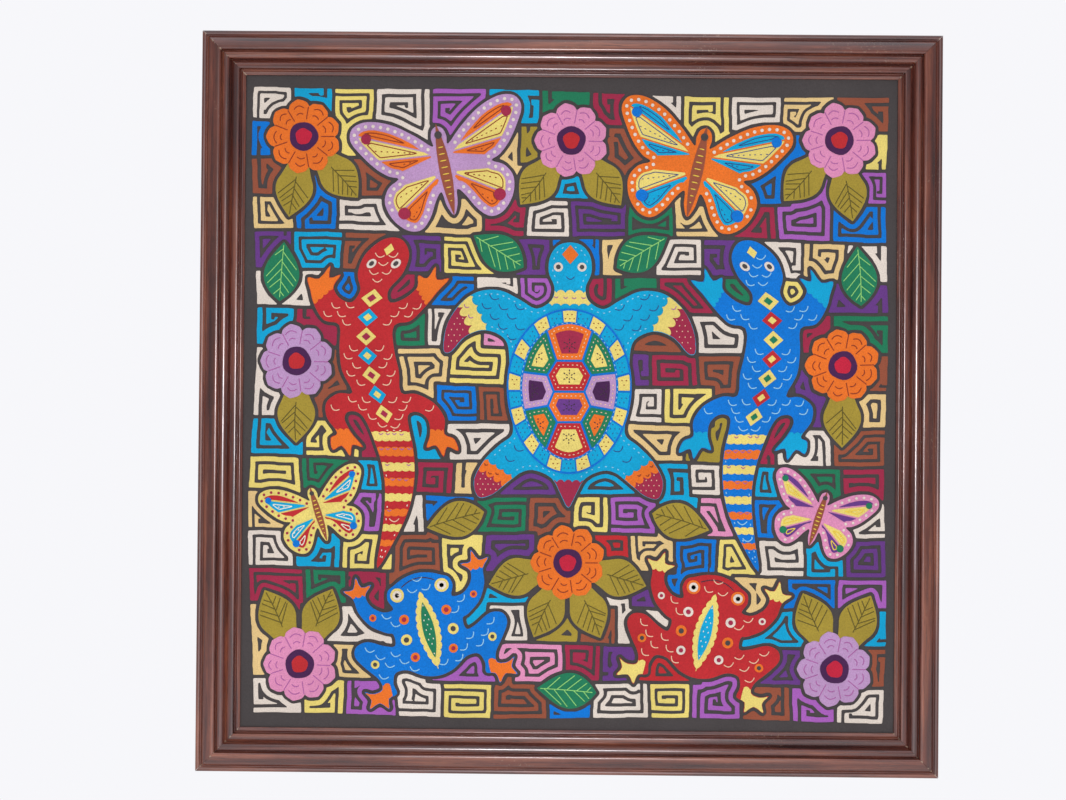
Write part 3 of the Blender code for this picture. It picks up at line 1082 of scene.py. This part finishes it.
for name, colour in figureColours.items():
    sewBase(name + "_cloth", name, outlines[name], "foot", "figure", colour)
for name, colour in rosetteColours.items():
    sewBase(name + "_petals", name, outlines[name], "foot", "rosette", colour)
for name in leafNames:
    colour = "emerald" if name in emeraldLeaves else "olive"
    sewBase(name + "_cloth", name, outlines[name], "foot", "leaf", colour)
sewBase("turtle_shell_cloth", "turtle_shell", outlines["turtle_shell"], "figure", "shell", "blue")
for name in rosetteNames:
    sewBase(name + "_ring", name + "_eye", handRound(name), "rosette", "ring", "plum")
print("base patches sewn")


# Inner patches and embroidery

# where each figure lies: across and up in mm, turn in degrees, size in times, sideways sway in mm
places = {
    "turtle": (0, 17, 0, 1.13, 0),
    "turtle_shell": (0, 12, 0, 1.0, 0),
    "gecko_left": (-187, 2, 0, 1.02, -17),
    "gecko_right": (187, 2, 0, 1.02, 17),
    "butterfly_left": (-127, 236, 12, 1.14, 0),
    "butterfly_right": (127, 236, -12, 1.14, 0),
    "butterfly_low_left": (-251, -112, 18, 0.70, 0),
    "butterfly_low_right": (251, -112, -18, 0.70, 0),
    "frog_left": (-140, -223, 14, 1.12, 0),
    "frog_right": (140, -223, -14, 1.12, 0),
}
swayWave = {"low": -10, "half": 145}  # a swaying body bends as half a wave over this length
patchCut = {"slack": 0.12, "wobble": 0.18, "sunk": 0.05}  # sunk into the layer below
below = {"patch": "figure", "topPatch": "patch", "disc": "ring", "scute": "shell", "scuteHeart": "scute"}
stitchLook = {
    "radius": 0.54,
    "fine": {"mossThread": 0.52, "leafThread": 0.45, "navyThread": 0.46, "mauveThread": 0.48},
    "waist": (0.22, 0.78),  # where along a stitch it is full
    "lift": 0.35,  # of its middle over its ends, in radii
    "height": 0.8,  # in radii
    "sink": 0.12,  # how far its ends are drawn into the cloth
    "step": 2.6,  # of the stitches of a continuous line
    "bowStep": 2.1,
    "overlap": 0.22,  # of the stitches of a continuous line, as a share of their length
}
seedRow = {"inset": 4.3, "length": 2.4, "gap": 3.9}


class Sewing:
    # one sewn piece: fields over it in its own untouched pose, its inner patches and its stitches
    def __init__(self, name, level, place):
        across, up, turn, self.size, self.sway = place
        self.name, self.at, self.turn = name, (across, up), math.radians(turn)
        low, high = outlines[name].min(axis=0) - 3, outlines[name].max(axis=0) + 3
        self.xs, self.zs = gridLine(low[0], high[0]), gridLine(low[1], high[1])
        x, z = np.meshgrid(self.xs, self.zs)
        dx, dz = x - across, z - up
        self.up = (dz * math.cos(self.turn) - dx * math.sin(self.turn)) / self.size
        self.across = (dx * math.cos(self.turn) + dz * math.sin(self.turn)) / self.size - self.bend(self.up)
        self.side = np.abs(self.across)
        self.depth = softened(depthInside(filled(outlines[name], self.xs, self.zs)), 1)
        self.bare = self.depth.copy()  # how far inside the cloth that no patch covers
        self.surface = np.full(x.shape, float(layers[level]))
        self.loops = {}
        self.stitches = {}

    def bend(self, up):
        return self.sway * np.sin(math.pi * (up - swayWave["low"]) / swayWave["half"])

    def place(self, across, up):
        # from the piece's own pose to the panel
        x, z = (across + float(self.bend(up))) * self.size, up * self.size
        cos, sin = math.cos(self.turn), math.sin(self.turn)
        return np.array([self.at[0] + (x * cos - z * sin), self.at[1] + (x * sin + z * cos)])

    def read(self, field, point):
        column = min(max(int((point[0] - self.xs[0]) / cell + 0.5), 0), len(self.xs) - 1)
        row = min(max(int((point[1] - self.zs[0]) / cell + 0.5), 0), len(self.zs) - 1)
        return float(field[row, column])

    def ball(self, across, up, radius):
        # a disc on both sides of the middle line
        return radius - np.hypot(self.side - abs(across), self.up - up) * self.size

    def limb(self, start, way):
        # how far out along a limb, and how far beside its middle line
        side, up = self.side - start[0], self.up - start[1]
        return way[0] * side + way[1] * up, way[0] * up - way[1] * side

    def patch(self, field, colour, level="patch", least=5.0):
        for loop in traced(field, self.xs, self.zs, least):
            cut = handCut(thinned(loop, patchCut["slack"]), patchCut["wobble"])
            self.loops.setdefault((level, colour), []).append(cut)
        self.bare = np.minimum(self.bare, -field)
        self.surface = np.where(field > 0, layers[level], self.surface)

    def dot(self, colour, spot, radius):
        angles = np.arange(12) * math.pi / 6
        ring = spot + radius * np.column_stack([np.cos(angles), np.sin(angles)])
        self.loops.setdefault(("patch", colour), []).append(ring)

    def stitch(self, colour, start, end):
        middle = (start + end) / 2
        self.stitches.setdefault(colour, []).append((*start, *end, self.read(self.surface, middle)))

    def run(self, colour, path, length, gap, within):
        # running stitches along a path on the panel, where they lie in a field
        travelled = travel(path)
        s = gap * chance.uniform(0.2, 0.8)
        while s + length < travelled[-1]:
            ends = pointsAlong(path, travelled, (s, s + length))
            if within is None or min(self.read(within, end) for end in ends) > 0:
                self.stitch(colour, *ends)
            s += length + gap * chance.uniform(0.8, 1.25)

    def echo(self, colour, field, length=seedRow["length"], gap=seedRow["gap"], within=None):
        # a row of seed stitches round the edge of a field
        for loop in traced(field, self.xs, self.zs, 30.0):
            self.run(colour, closed(loop), length, gap, within)

    def line(self, colour, path, step=stitchLook["step"]):
        # one continuous line of overlapping stitches
        travelled = travel(path)
        stops = np.linspace(0, travelled[-1], max(1, round(travelled[-1] / step)) + 1)
        knots = pointsAlong(path, travelled, stops)
        for start, end in zip(knots, knots[1:]):
            more = (end - start) * stitchLook["overlap"]
            self.stitch(colour, start - more, end + more)

    def bow(self, colour, middle, lean, width, sag):
        # one arc
        right = ray(lean)
        down = np.array([right[1], -right[0]])
        shares = np.linspace(-1, 1, 9)
        path = [middle + right * t * width / 2 + down * sag * (0.5 - t * t) for t in shares]
        self.line(colour, np.array(path), stitchLook["bowStep"])

    def bows(self, colour, field, rowStep, columnStep, width, sag, lean=0.0, least=3.2):
        # staggered rows of curved lines where the field leaves room
        for number, up in enumerate(np.arange(self.up.min(), self.up.max(), rowStep)):
            shift = (number % 2) * columnStep / 2
            for k in range(-30, 31):
                across = k * columnStep + shift
                stray = np.array([chance.uniform(-0.5, 0.5), chance.uniform(-0.5, 0.5)])
                middle = self.place(across, up) + stray
                tilt = self.turn + math.copysign(lean, across) * min(1, abs(across) / 12)
                right = ray(tilt) * width / 2
                if all(self.read(field, spot) > least for spot in (middle - right, middle, middle + right)):
                    self.bow(colour, middle, tilt, width, sag)

    def seeds(self, colour, field, step, length=1.6, least=2.0, upright=True):
        for number, up in enumerate(np.arange(self.up.min(), self.up.max(), step)):
            for k in range(-40, 41):
                spot = self.place((k + 0.5 * (number % 2)) * step, up)
                if self.read(field, spot) > least:
                    angle = self.turn + (math.pi / 2 if upright else 0) + chance.uniform(-0.35, 0.35)
                    half = ray(angle) * length / 2
                    self.stitch(colour, spot - half, spot + half)

    def finish(self, colour):
        parts = [
            sewn(self.name + "_" + tone, loops, layers[below[level]] - patchCut["sunk"], level, cottons[tone])
            for (level, tone), loops in self.loops.items()
        ]
        settle(joined(self.name + "_patches", parts))
        settle(embroidered(self.name + "_embroidery", self.stitches))


def embroidered(name, stitches):
    # every stitch is a small grain of ten points, its ends drawn down into the cloth
    corners, sides, finishOf = [], [], []
    for number, (colour, rows) in enumerate(stitches.items()):
        radius = stitchLook["fine"].get(colour, stitchLook["radius"])
        out = np.array([0, -radius, 0])
        for x0, z0, x1, z1, height in rows:
            along = np.array([x1 - x0, 0, z1 - z0])
            length = max(float(np.hypot(x1 - x0, z1 - z0)), 0.01)
            side = np.array([-along[2], 0, along[0]]) / length * radius
            start = np.array([x0, -height + stitchLook["sink"], z0])
            base = len(corners)
            corners.append(start)
            for share in stitchLook["waist"]:
                middle = start + along * share + out * stitchLook["lift"]
                over = out * stitchLook["height"]
                corners += [middle + side, middle + over, middle - side, middle - over]
            corners.append(start + along)
            for k in range(4):
                a, b = base + 1 + k, base + 1 + (k + 1) % 4
                sides += [(b, a, base), (a, b, b + 4, a + 4), (a + 4, b + 4, base + 9)]
                finishOf += [number] * 3
    mesh = bpy.data.meshes.new(name)
    mesh.from_pydata([(x * mm, y * mm, z * mm + centreZ) for x, y, z in corners], [], sides)
    for colour in stitches:
        mesh.materials.append(threads[colour])
    mesh.polygons.foreach_set("material_index", finishOf)
    mesh.polygons.foreach_set("use_smooth", [True] * len(sides))
    mesh.update()
    return placed(name, mesh)


def lobes(across, width, height):
    # a row of round lobes, as feathers end
    return height * np.sqrt(np.abs(np.cos(math.pi * across / width)))


def lobedBand(along, beside, low, high, width, heights):
    # a band across a limb, both its edges rows of lobes
    under = along - low - lobes(beside + width / 2, width, heights[0])
    return np.minimum(under, high + lobes(beside, width, heights[1]) - along)


def toes(along, beside):
    return along + lobes(beside, 6, 2.5)


def diamond(work, up, halfWide, halfHigh):
    scale = halfWide * halfHigh / math.hypot(halfWide, halfHigh)
    return (1 - work.side / halfWide - np.abs(work.up - up) / halfHigh) * scale * work.size


def eyes(work, across, up, radius, rim=None):
    if rim:
        work.patch(work.ball(across, up, radius + 2.2), rim)
    work.patch(work.ball(across, up, radius), "cream", "topPatch" if rim else "patch")
    work.patch(work.ball(across, up, radius * 0.52), "charcoal", "topPatch")


# rows of scales in all figures: step up, step across, width and sag in mm, lean, and least depth in the field
turtle = {
    "limbs": (
        {
            "start": (0, 62), "way": (0.89, -0.45), "tip": 80, "cuff": (68, 80, 9, (3.5, 6.5)),
            "colour": "lemon", "clear": 1.5, "seeds": 5.0, "thread": "mauveThread",
            "scales": (9.5, 8.8, 5.4, 2.2, 0.5, 1.5),
        },
        {
            "start": (58, -60), "way": (0.55, -0.83), "tip": 21, "cuff": (11, 20, 8, (3, 5)),
            "colour": "orange", "clear": 1.2, "seeds": 4.6, "thread": "rustThread",
            "scales": (8.0, 7.0, 3.6, 1.5, 0.4, 1.4),
        },
    ),
    "tips": "crimson",
    "tail": (86, 7, 3),  # how far down its tip starts, and the lobes of its edge
    "collar": (71, 82, 8, (2.5, 3.5)),
    "eyes": (10.5, 106, 4.6),  # across, up and radius
    "crown": (117, 7.5, 8.5),  # up, half width and half height
    "collarScales": (9.0, 8.0, 4.0, 1.6, 0, 1.5),
    "headScales": (8.6, 13.0, 8.2, 2.8, 0, 3.0),
    "limbScales": (9.0, 15.0, 10.4, 3.4, 0.45, 3.2),
}


def sewTurtle():
    work = Sewing("turtle", "figure", places["turtle"])
    edge = work.depth - 0.4
    regions = ((work.up > 20) & (work.side > 45), (work.up < -40) & (work.side > 30))
    for look, region in zip(turtle["limbs"], regions):
        out, beside = work.limb(look["start"], look["way"])
        tip = only(region, np.minimum(edge, out - look["tip"]))
        work.patch(tip, turtle["tips"])
        cuff = only(region, np.minimum(edge, lobedBand(out, beside, *look["cuff"])))
        work.patch(cuff, look["colour"], "topPatch")
        work.seeds("paleThread", only(cuff <= -look["clear"], tip), look["seeds"])
        work.bows(look["thread"], cuff, *look["scales"])
    tail, *lobed = turtle["tail"]
    tail = np.minimum(edge, -work.up - tail + lobes(work.across, *lobed))
    work.patch(only(work.side < 25, tail), turtle["tips"])
    collar = lobedBand(work.up, work.across, *turtle["collar"])
    work.patch(only(work.side < 24, np.minimum(edge, collar)), "lemon")
    neck = only((work.side < 20) & (work.up > 60), collar)
    work.bows("mauveThread", neck, *turtle["collarScales"])
    eyes(work, *turtle["eyes"])
    work.patch(diamond(work, *turtle["crown"]), "orange")
    work.bows("navyThread", only(work.up > 80, work.bare), *turtle["headScales"])
    limbs = only((work.side > 36) & (np.abs(work.up) > 30) | (work.up < -76), work.bare)
    work.bows("navyThread", limbs, *turtle["limbScales"])
    work.echo("skyThread", work.depth - seedRow["inset"], within=work.bare - 1.5)
    work.finish(figureColours["turtle"])


shell = {
    "rim": 13.5,  # width of the ring of small scutes
    "scutes": 26,
    "gap": 1.1,  # half the cloth left between two big scutes
    "turnIn": 6.2,  # from a scute's edge to its heart's
    "hearts": (  # across, up, colours of the scute and its heart
        (0, 46, "orange", "crimson"), (0, 15, "scarlet", "lemon"), (0, -16, "orange", "violet"),
        (0, -46, "scarlet", "lemon"), (33, 35, "emerald", "lemon"), (37, 0, "lilac", "plum"),
        (31, -34, "emerald", "orange"),
    ),
    "rays": (1.6, 4.6),  # starts of the stitches round a heart's middle
}


def sewShell():
    work = Sewing("turtle_shell", "shell", places["turtle_shell"])
    rim, count = shell["rim"], shell["scutes"]
    sector = np.arctan2(work.up / 1.26, work.across) / (2 * math.pi) * count
    radius = np.hypot(work.across, work.up)
    edge = (0.5 - np.abs(sector % 1 - 0.5)) * 2 * math.pi / count * radius
    scute = np.minimum(np.minimum(work.depth - 2.0, rim - work.depth), edge - 0.8)
    odd = np.floor(sector) % 2 == 1
    work.patch(only(odd, scute), "teal", "scute")
    work.patch(only(~odd, scute), "lemon", "scute")
    work.seeds("rustThread", only(~odd, scute), 4.4, 1.8, 1.5, False)
    work.seeds("navyThread", only(odd, scute), 4.4, 1.8, 1.5)
    hearts = [
        (x, *rest) for across, *rest in shell["hearts"] for x in sorted({across, -across}, reverse=True)
    ]
    for x, up, outer, inner in hearts:
        own = work.depth - rim - 2.2
        for ox, oz, *_ in hearts:
            if (ox, oz) != (x, up):
                there = (work.across - ox) ** 2 + (work.up - oz) ** 2
                other = there - (work.across - x) ** 2 - (work.up - up) ** 2
                own = np.minimum(own, other / (2 * math.hypot(ox - x, oz - up)) - shell["gap"])
        work.patch(own, outer, "scute")
        work.patch(own - shell["turnIn"], inner, "scuteHeart")
        work.echo("paleThread", own - shell["turnIn"] / 2, 2.2, 2.2)
        spot = work.place(x, up)
        for k in range(6):
            way = ray(math.radians(60 * k + 30))
            for near in shell["rays"]:
                if work.read(own, spot + way * (near + 2.6)) > 6.8:
                    work.stitch("darkThread", spot + way * near, spot + way * (near + 2.4))
    work.echo("skyThread", work.depth - rim - 0.9, 2.4, 2.6)
    work.finish("blue")


geckoColours = {
    "gecko_left": {
        "diamonds": ("lemon", "teal"), "hearts": ("crimson", "lemon"), "rings": ("lemon", "orange"),
        "feet": "orange", "scales": "paleThread", "echo": "creamThread",
    },
    "gecko_right": {
        "diamonds": ("lemon", "scarlet"), "hearts": ("emerald", "lemon"), "rings": ("lemon", "orange"),
        "feet": "teal", "scales": "skyThread", "echo": "skyThread",
    },
}
gecko = {
    "eyes": (12, 134, 4.8),
    "crown": (148, 5.0, 6.0),
    "diamonds": range(100, -15, -19),  # heights of the row down its back
    "diamond": (10.5, 9.0),  # half width and half height of the first one
    "heart": (0.45, 4.0),  # its width as a share of the diamond's, and its half height
    "narrower": 0.35,  # from one diamond to the next
    "rings": range(-36, -152, -15),  # heights of the rings round its tail
    "ring": (3.4, 0.2),  # half the width of the first one, and how much less the next one has
    "ringScales": (15, 6.8, 4.0, 1.5, 0, 1.4),
    "scales": (8.4, 13.6, 9.6, 3.2, 0.5, 2.2),
}


def sewGecko(name):
    look = geckoColours[name]
    work = Sewing(name, "figure", places[name])
    edge = work.depth - 0.4
    out, beside = work.limb((0, 0), (0.75, 0.66))
    hand = np.minimum(edge, toes(out - 105, beside))
    foot = np.minimum(edge, toes(-work.up - 31, work.side))
    work.patch(only((work.side > 30) & (work.up > 80), hand), look["feet"])
    work.patch(only((work.side > 27) & (work.up < -20), foot), look["feet"])
    eyes(work, *gecko["eyes"])
    first, high = gecko["diamond"]
    share, heartHigh = gecko["heart"]
    for number, up in enumerate(gecko["diamonds"]):
        wide = first - gecko["narrower"] * number
        work.patch(diamond(work, up, wide, high), look["diamonds"][number % 2])
        heart = diamond(work, up, wide * share, heartHigh)
        work.patch(heart, look["hearts"][number % 2], "topPatch", 2.0)
    half, less = gecko["ring"]
    for number, up in enumerate(gecko["rings"]):
        middle = half - less * number - np.abs(work.up - up) + lobes(work.across, 7, 1.6)
        ring = only(work.side < 24, np.minimum(edge, middle * work.size))
        work.patch(ring, look["rings"][number % 2])
        work.bows("mauveThread", ring, *gecko["ringScales"])
    work.patch(diamond(work, *gecko["crown"]), look["diamonds"][0])
    scaly = only((work.side < 30) | (work.up > 60) | (work.up < 10), work.bare)
    work.bows(look["scales"], scaly, *gecko["scales"])
    work.echo(look["echo"], only(work.up < -30, work.depth - 2.6), within=work.bare - 0.8)
    work.finish(figureColours[name])


butterflyColours = {
    "butterfly_left": {
        "fingers": ("orange", "lemon"), "spots": "crimson", "tips": "cream", "dash": "rustThread",
    },
    "butterfly_right": {
        "fingers": ("teal", "lemon"), "spots": "blue", "tips": "cream", "dash": "navyThread",
    },
    "butterfly_low_left": {
        "fingers": ("scarlet", "teal"), "spots": "blue", "tips": "crimson", "dash": "creamThread",
    },
    "butterfly_low_right": {
        "fingers": ("violet", "lemon"), "spots": "emerald", "tips": "cream", "dash": "goldThread",
    },
}
butterfly = {
    # of the upper and the lower wings: height of their root, first and last angle, number of fingers
    "wings": ((12, -14, 62, 4), (-4, -86, -6, 3)),
    "root": 3,  # how far from the middle line
    "border": 8.6,  # cloth left round the fingers
    "spine": (14, 78),  # how far out the stitches along a finger's middle start and end
    "spots": ((43, -33, 5.4), (63, 38, 4.6)),
    "body": 5.2,  # half its width
    "curve": 0.0030,  # how it narrows to its ends
    "head": (0, 29, 3.4),
    "belts": (3.6, range(-30, 24, 6)),  # half the length and the heights of the stitches across the body
    "dots": (4.6, 7.6, 1.75),  # how far in, how far apart and how big
}


def sewButterfly(name):
    look = butterflyColours[name]
    work = Sewing(name, "figure", places[name])
    size, root = work.size, butterfly["root"]
    small = min(1, size)
    inner = work.depth - butterfly["border"] * small
    fingers = []
    for wing, (origin, first, last, count) in enumerate(butterfly["wings"]):
        angle = np.degrees(np.arctan2(work.up - origin, work.side - root))
        reach = np.hypot(work.side - root, work.up - origin) * size
        share = (angle - first) / (last - first) * count
        wide = math.radians((last - first) / count)
        between = (0.5 - np.abs(share % 1 - 0.5)) * wide * reach - 0.75
        for k in range(count):
            own = only(np.floor(share) == k, np.minimum(np.minimum(inner, between), reach - 7 * size))
            work.patch(own, look["fingers"][(k + wing) % 2], least=12.0)
            fingers.append((own, origin, math.radians(first + (k + 0.5) * (last - first) / count)))
    for across, up, radius in butterfly["spots"]:
        work.patch(work.ball(across, up, radius * size), look["spots"], "topPatch")
    body = butterfly["body"] - work.side - butterfly["curve"] * (work.up + 2) ** 2
    work.patch(body * size, "brown")
    across, up, radius = butterfly["head"]
    work.patch(work.ball(across, up, radius * size), "charcoal", "topPatch", 3.0)
    middle, heights = butterfly["belts"]
    for up in heights:
        half = middle - butterfly["curve"] * up * up
        work.stitch("goldThread", work.place(-half, up), work.place(half, up))
    for own, origin, angle in fingers:
        clear = only(work.surface < layers["topPatch"], own - 0.8)
        for loop in traced(np.minimum(own, clear) - 1.9, work.xs, work.zs, 12.0):
            work.line(look["dash"], closed(loop))
        for way in (-1, 1):
            spine = [
                work.place(way * (root + r * math.cos(angle)), origin + r * math.sin(angle))
                for r in butterfly["spine"]
            ]
            work.run(look["dash"], np.array(spine), 2.4, 3.2, clear - 2.6)
    inset, step, radius = butterfly["dots"]
    for loop in traced(work.depth - inset * small, work.xs, work.zs, 60.0):
        ring = closed(loop)
        travelled = travel(ring)
        for spot in pointsAlong(ring, travelled, np.arange(4, travelled[-1] - 3, step)):
            if work.read(work.bare, spot) > 3.0 * small and work.read(work.side, spot) > 11:
                work.dot(look["tips"], spot, radius * min(1, size + 0.1))
    work.finish(figureColours[name])


frogColours = {
    "frog_left": {
        "stripe": "lemon", "inlay": "emerald", "spots": ("orange", "lemon"), "toes": "orange",
        "rim": "lemon", "scales": "skyThread",
    },
    "frog_right": {
        "stripe": "lemon", "inlay": "teal", "spots": ("cream", "orange"), "toes": "lemon",
        "rim": "orange", "scales": "paleThread",
    },
}
frog = {
    "spots": ((19.5, 9, 5.0), (21.5, -9, 5.6), (17.5, -26, 4.6), (54, -24, 4.4), (46.5, 17, 3.6)),
    "stripe": (9.6, -5, 35),  # half its width, the height of its middle and half its length
    "inlay": 4.4,  # in from the stripe's edge
    "eyes": (20.5, 31.5, 4.8),
    "mouth": (42.5, 0.022, 15),  # height of its middle, curve and half width
    "scales": (8.6, 14.0, 9.8, 3.3, 0.5, 2.4),
}


def sewFrog(name):
    look = frogColours[name]
    work = Sewing(name, "figure", places[name])
    edge = work.depth - 0.4
    wide, height, half = frog["stripe"]
    stripe = wide * (1 - ((work.up - height) / half) ** 2) - work.side
    work.patch(stripe + lobes(work.up, 7, 1.8) - 1.0, look["stripe"])
    inlay = stripe - frog["inlay"]
    work.patch(inlay, look["inlay"], "topPatch")
    work.seeds("creamThread", inlay, 4.4, 2.0, 1.0)
    hands = np.minimum(edge, toes(work.up - 40, work.side))
    feet = np.minimum(edge, toes(-work.up - 45, work.side))
    work.patch(only((work.side > 37) & (work.up > 30), hands), look["toes"])
    work.patch(only((work.side > 45) & (work.up < -30), feet), look["toes"])
    for number, (across, up, radius) in enumerate(frog["spots"]):
        work.patch(work.ball(across, up, radius), look["spots"][number % 2])
        heart = "charcoal" if number % 2 else "crimson"
        work.patch(work.ball(across, up, radius * 0.48), heart, "topPatch", 2.0)
    eyes(work, *frog["eyes"], look["rim"])
    height, curve, half = frog["mouth"]
    mouth = [work.place(across, height - curve * across * across) for across in range(-half, half + 1, 3)]
    work.line("darkThread", np.array(mouth))
    work.bows(look["scales"], work.bare, *frog["scales"])
    work.finish(figureColours[name])


petalThreads = {"orange": "rustThread", "pink": "mauveThread", "lilac": "mauveThread"}
petals = {
    "inner": 17.6,  # where a seam starts and ends
    "outer": 30.8,
    "arcs": ((22.6, 7.2, 1.6), (29.2, 11.4, 2.8)),  # how far out, width and sag
    "disc": 8.3,
    "flats": (0.35, 0.25),  # how far the disc is from round
    "discColours": ("rose", "scarlet"),
}


def sewRosette(name):
    at = rosetteMiddle(name)
    work = Sewing(name, "rosette", (*at, 0, 1.0, 0))
    colour = petalThreads[rosetteColours[name]]
    step = 2 * math.pi / rosette["petals"]
    for k in range(rosette["petals"]):
        way = ray(k * step + chance.uniform(-0.04, 0.04))
        seam = [at + way * r for r in (petals["inner"], petals["outer"] + chance.uniform(-1, 1))]
        work.line(colour, np.array(seam))
        middle = (k + 0.5) * step + chance.uniform(-0.05, 0.05)
        for r, width, sag in petals["arcs"]:
            spot = at + ray(middle) * (r + chance.uniform(-0.6, 0.6))
            work.bow(colour, spot, middle + math.pi / 2, width * chance.uniform(0.8, 1.08), sag)
    x, z = np.meshgrid(work.xs, work.zs)
    turn = np.arctan2(z - at[1], x - at[0])
    first, second = petals["flats"]
    disc = petals["disc"] + first * np.sin(3 * turn + at[0]) + second * np.sin(5 * turn)
    colour = petals["discColours"][rosetteNames.index(name) % 2]
    work.patch(disc - np.hypot(x - at[0], z - at[1]), colour, "disc")
    work.finish(colour)


veins = {
    "foot": 38.5,  # where a leaf at a rosette shows first, from the rosette's middle
    "sag": 1.6,  # how far a rib can bend
    "rib": (0.06, 0.93),  # shares of the leaf's length
    "first": 0.12,
    "span": 0.66,
    "count": 5,
    "slant": (44, 6),  # degrees from the rib, and how much it varies
    "inset": 2.2,
}


def farthest(outline, spot):
    return outline[np.argmax(((outline - spot) ** 2).sum(axis=1))]


def sewLeaf(name):
    outline = outlines[name]
    middle = outline.mean(axis=0)
    work = Sewing(name, "leaf", (*middle, 0, 1.0, 0))
    colour = "leafThread" if name in emeraldLeaves else "mossThread"
    if "lone" in name:
        tip = farthest(outline, middle)
        foot = farthest(outline, tip)
    else:
        centre = rosetteMiddle(name)
        tip = farthest(outline, centre)
        foot = centre + (tip - centre) * veins["foot"] / np.hypot(*(tip - centre))
    length = float(np.hypot(*(tip - foot)))
    axis = (tip - foot) / length
    sag = np.array([-axis[1], axis[0]]) * chance.uniform(-veins["sag"], veins["sag"])

    def onRib(share):
        return foot + axis * length * share + sag * math.sin(math.pi * share)

    work.line(colour, np.array([onRib(share) for share in np.linspace(*veins["rib"], 12)]))
    slant, vary = veins["slant"]
    for k in range(veins["count"]):
        for side in (-1, 1):
            start = onRib(veins["first"] + veins["span"] * (k + 0.3 * (side > 0)) / (veins["count"] - 1))
            turn = side * math.radians(slant + chance.uniform(-vary, vary))
            way = ray(math.atan2(axis[1], axis[0]) + turn)
            reach = 2.0
            while work.read(work.depth, start + way * reach) > veins["inset"] and reach < 24:
                reach += 0.5
            if reach > 5:
                work.line(colour, np.array([start + way * 0.6, start + way * reach]))
    return work


def sewLeaves():
    # the veins of all leaves of one colour are one piece
    olive = [name for name in leafNames if name not in emeraldLeaves]
    for colour, group in (("olive", olive), ("emerald", emeraldLeaves)):
        stitches = {}
        for name in group:
            for tone, rows in sewLeaf(name).stitches.items():
                stitches.setdefault(tone, []).extend(rows)
        settle(embroidered("veins_" + colour, stitches))


sewTurtle()
sewShell()
for name in geckoColours:
    sewGecko(name)
for name in butterflyColours:
    sewButterfly(name)
for name in frogColours:
    sewFrog(name)
print("figures patched and embroidered")
for name in rosetteColours:
    sewRosette(name)
sewLeaves()
print("flowers and leaves embroidered")


# Stage, light and camera

studio = {
    "floor": ((232, 231, 228), (240, 239, 237)),
    "floorSize": (6.0, 5.0, 1.0, 1.0),
    "floorAt": (0, -1.7, -1.07),
    "sky": (0.93, 0.93, 0.96, 1),
    "skyStrength": (0.34, 1.3),  # low down and overhead; the camera sees it at 1
    "keyAt": (-0.02, -2.2, centreZ + 0.03),
    "keySize": 0.34,
    "keyWatts": 27.5,
    "keyColour": (1.0, 0.965, 0.955),
}
view = {"lens": 47.28, "sensor": 36, "place": (-0.0287, -1.4207, -0.3589), "turn": (90.391, -0.493, 0.303)}


def buildFloor():
    deselect()
    bpy.ops.mesh.primitive_plane_add(size=1, location=(0, 0, 0))
    floor = bpy.context.object
    floor.name = "floor"
    floor.data.transform(Matrix.Translation(studio["floorAt"]) @ Matrix.Diagonal(studio["floorSize"]))
    finish, tree, shader, place = newFinish("floor", {"Roughness": 0.85})
    tones = mixColours(tree, noise(tree, place, 40.0, 4.0), *(linear(tone) for tone in studio["floor"]))
    plug(tree, shader, {"Base Color": tones})
    floor.data.materials.append(finish)


def buildSky():
    world = bpy.data.worlds.new("studio")
    bpy.context.scene.world = world
    world.use_nodes = True
    tree = world.node_tree
    sky = tree.nodes["Background"]
    sky.inputs["Color"].default_value = studio["sky"]
    seen = addNode(tree, "ShaderNodeLightPath").outputs["Is Camera Ray"]
    way = addNode(tree, "ShaderNodeTexCoord").outputs["Generated"]
    height = addNode(tree, "ShaderNodeSeparateXYZ", {0: way}).outputs["Z"]
    soft = ranged(tree, height, 0.2, 1.0, *studio["skyStrength"], kind="SMOOTHSTEP")
    plug(tree, sky, {"Strength": ranged(tree, seen, 0.0, 1.0, soft, 1.0)})
    bpy.context.scene.view_settings.view_transform = "Standard"


def buildLight():
    lamp = bpy.data.lights.new("key", "AREA")
    lamp.shape = "DISK"
    lamp.size = studio["keySize"]
    lamp.energy = studio["keyWatts"]
    lamp.color = studio["keyColour"]
    holder = placed("key", lamp)
    holder.location = studio["keyAt"]
    direction = Vector((0, 0, centreZ)) - holder.location
    holder.rotation_euler = direction.to_track_quat("-Z", "Y").to_euler()


def buildCamera():
    camera = bpy.data.cameras.new("camera")
    camera.lens = view["lens"]
    camera.sensor_width = view["sensor"]
    holder = placed("camera", camera)
    holder.location = view["place"]
    holder.rotation_euler = [math.radians(angle) for angle in view["turn"]]
    bpy.context.scene.camera = holder


buildFloor()
buildSky()
buildLight()
buildCamera()
print("stage, light and camera set")
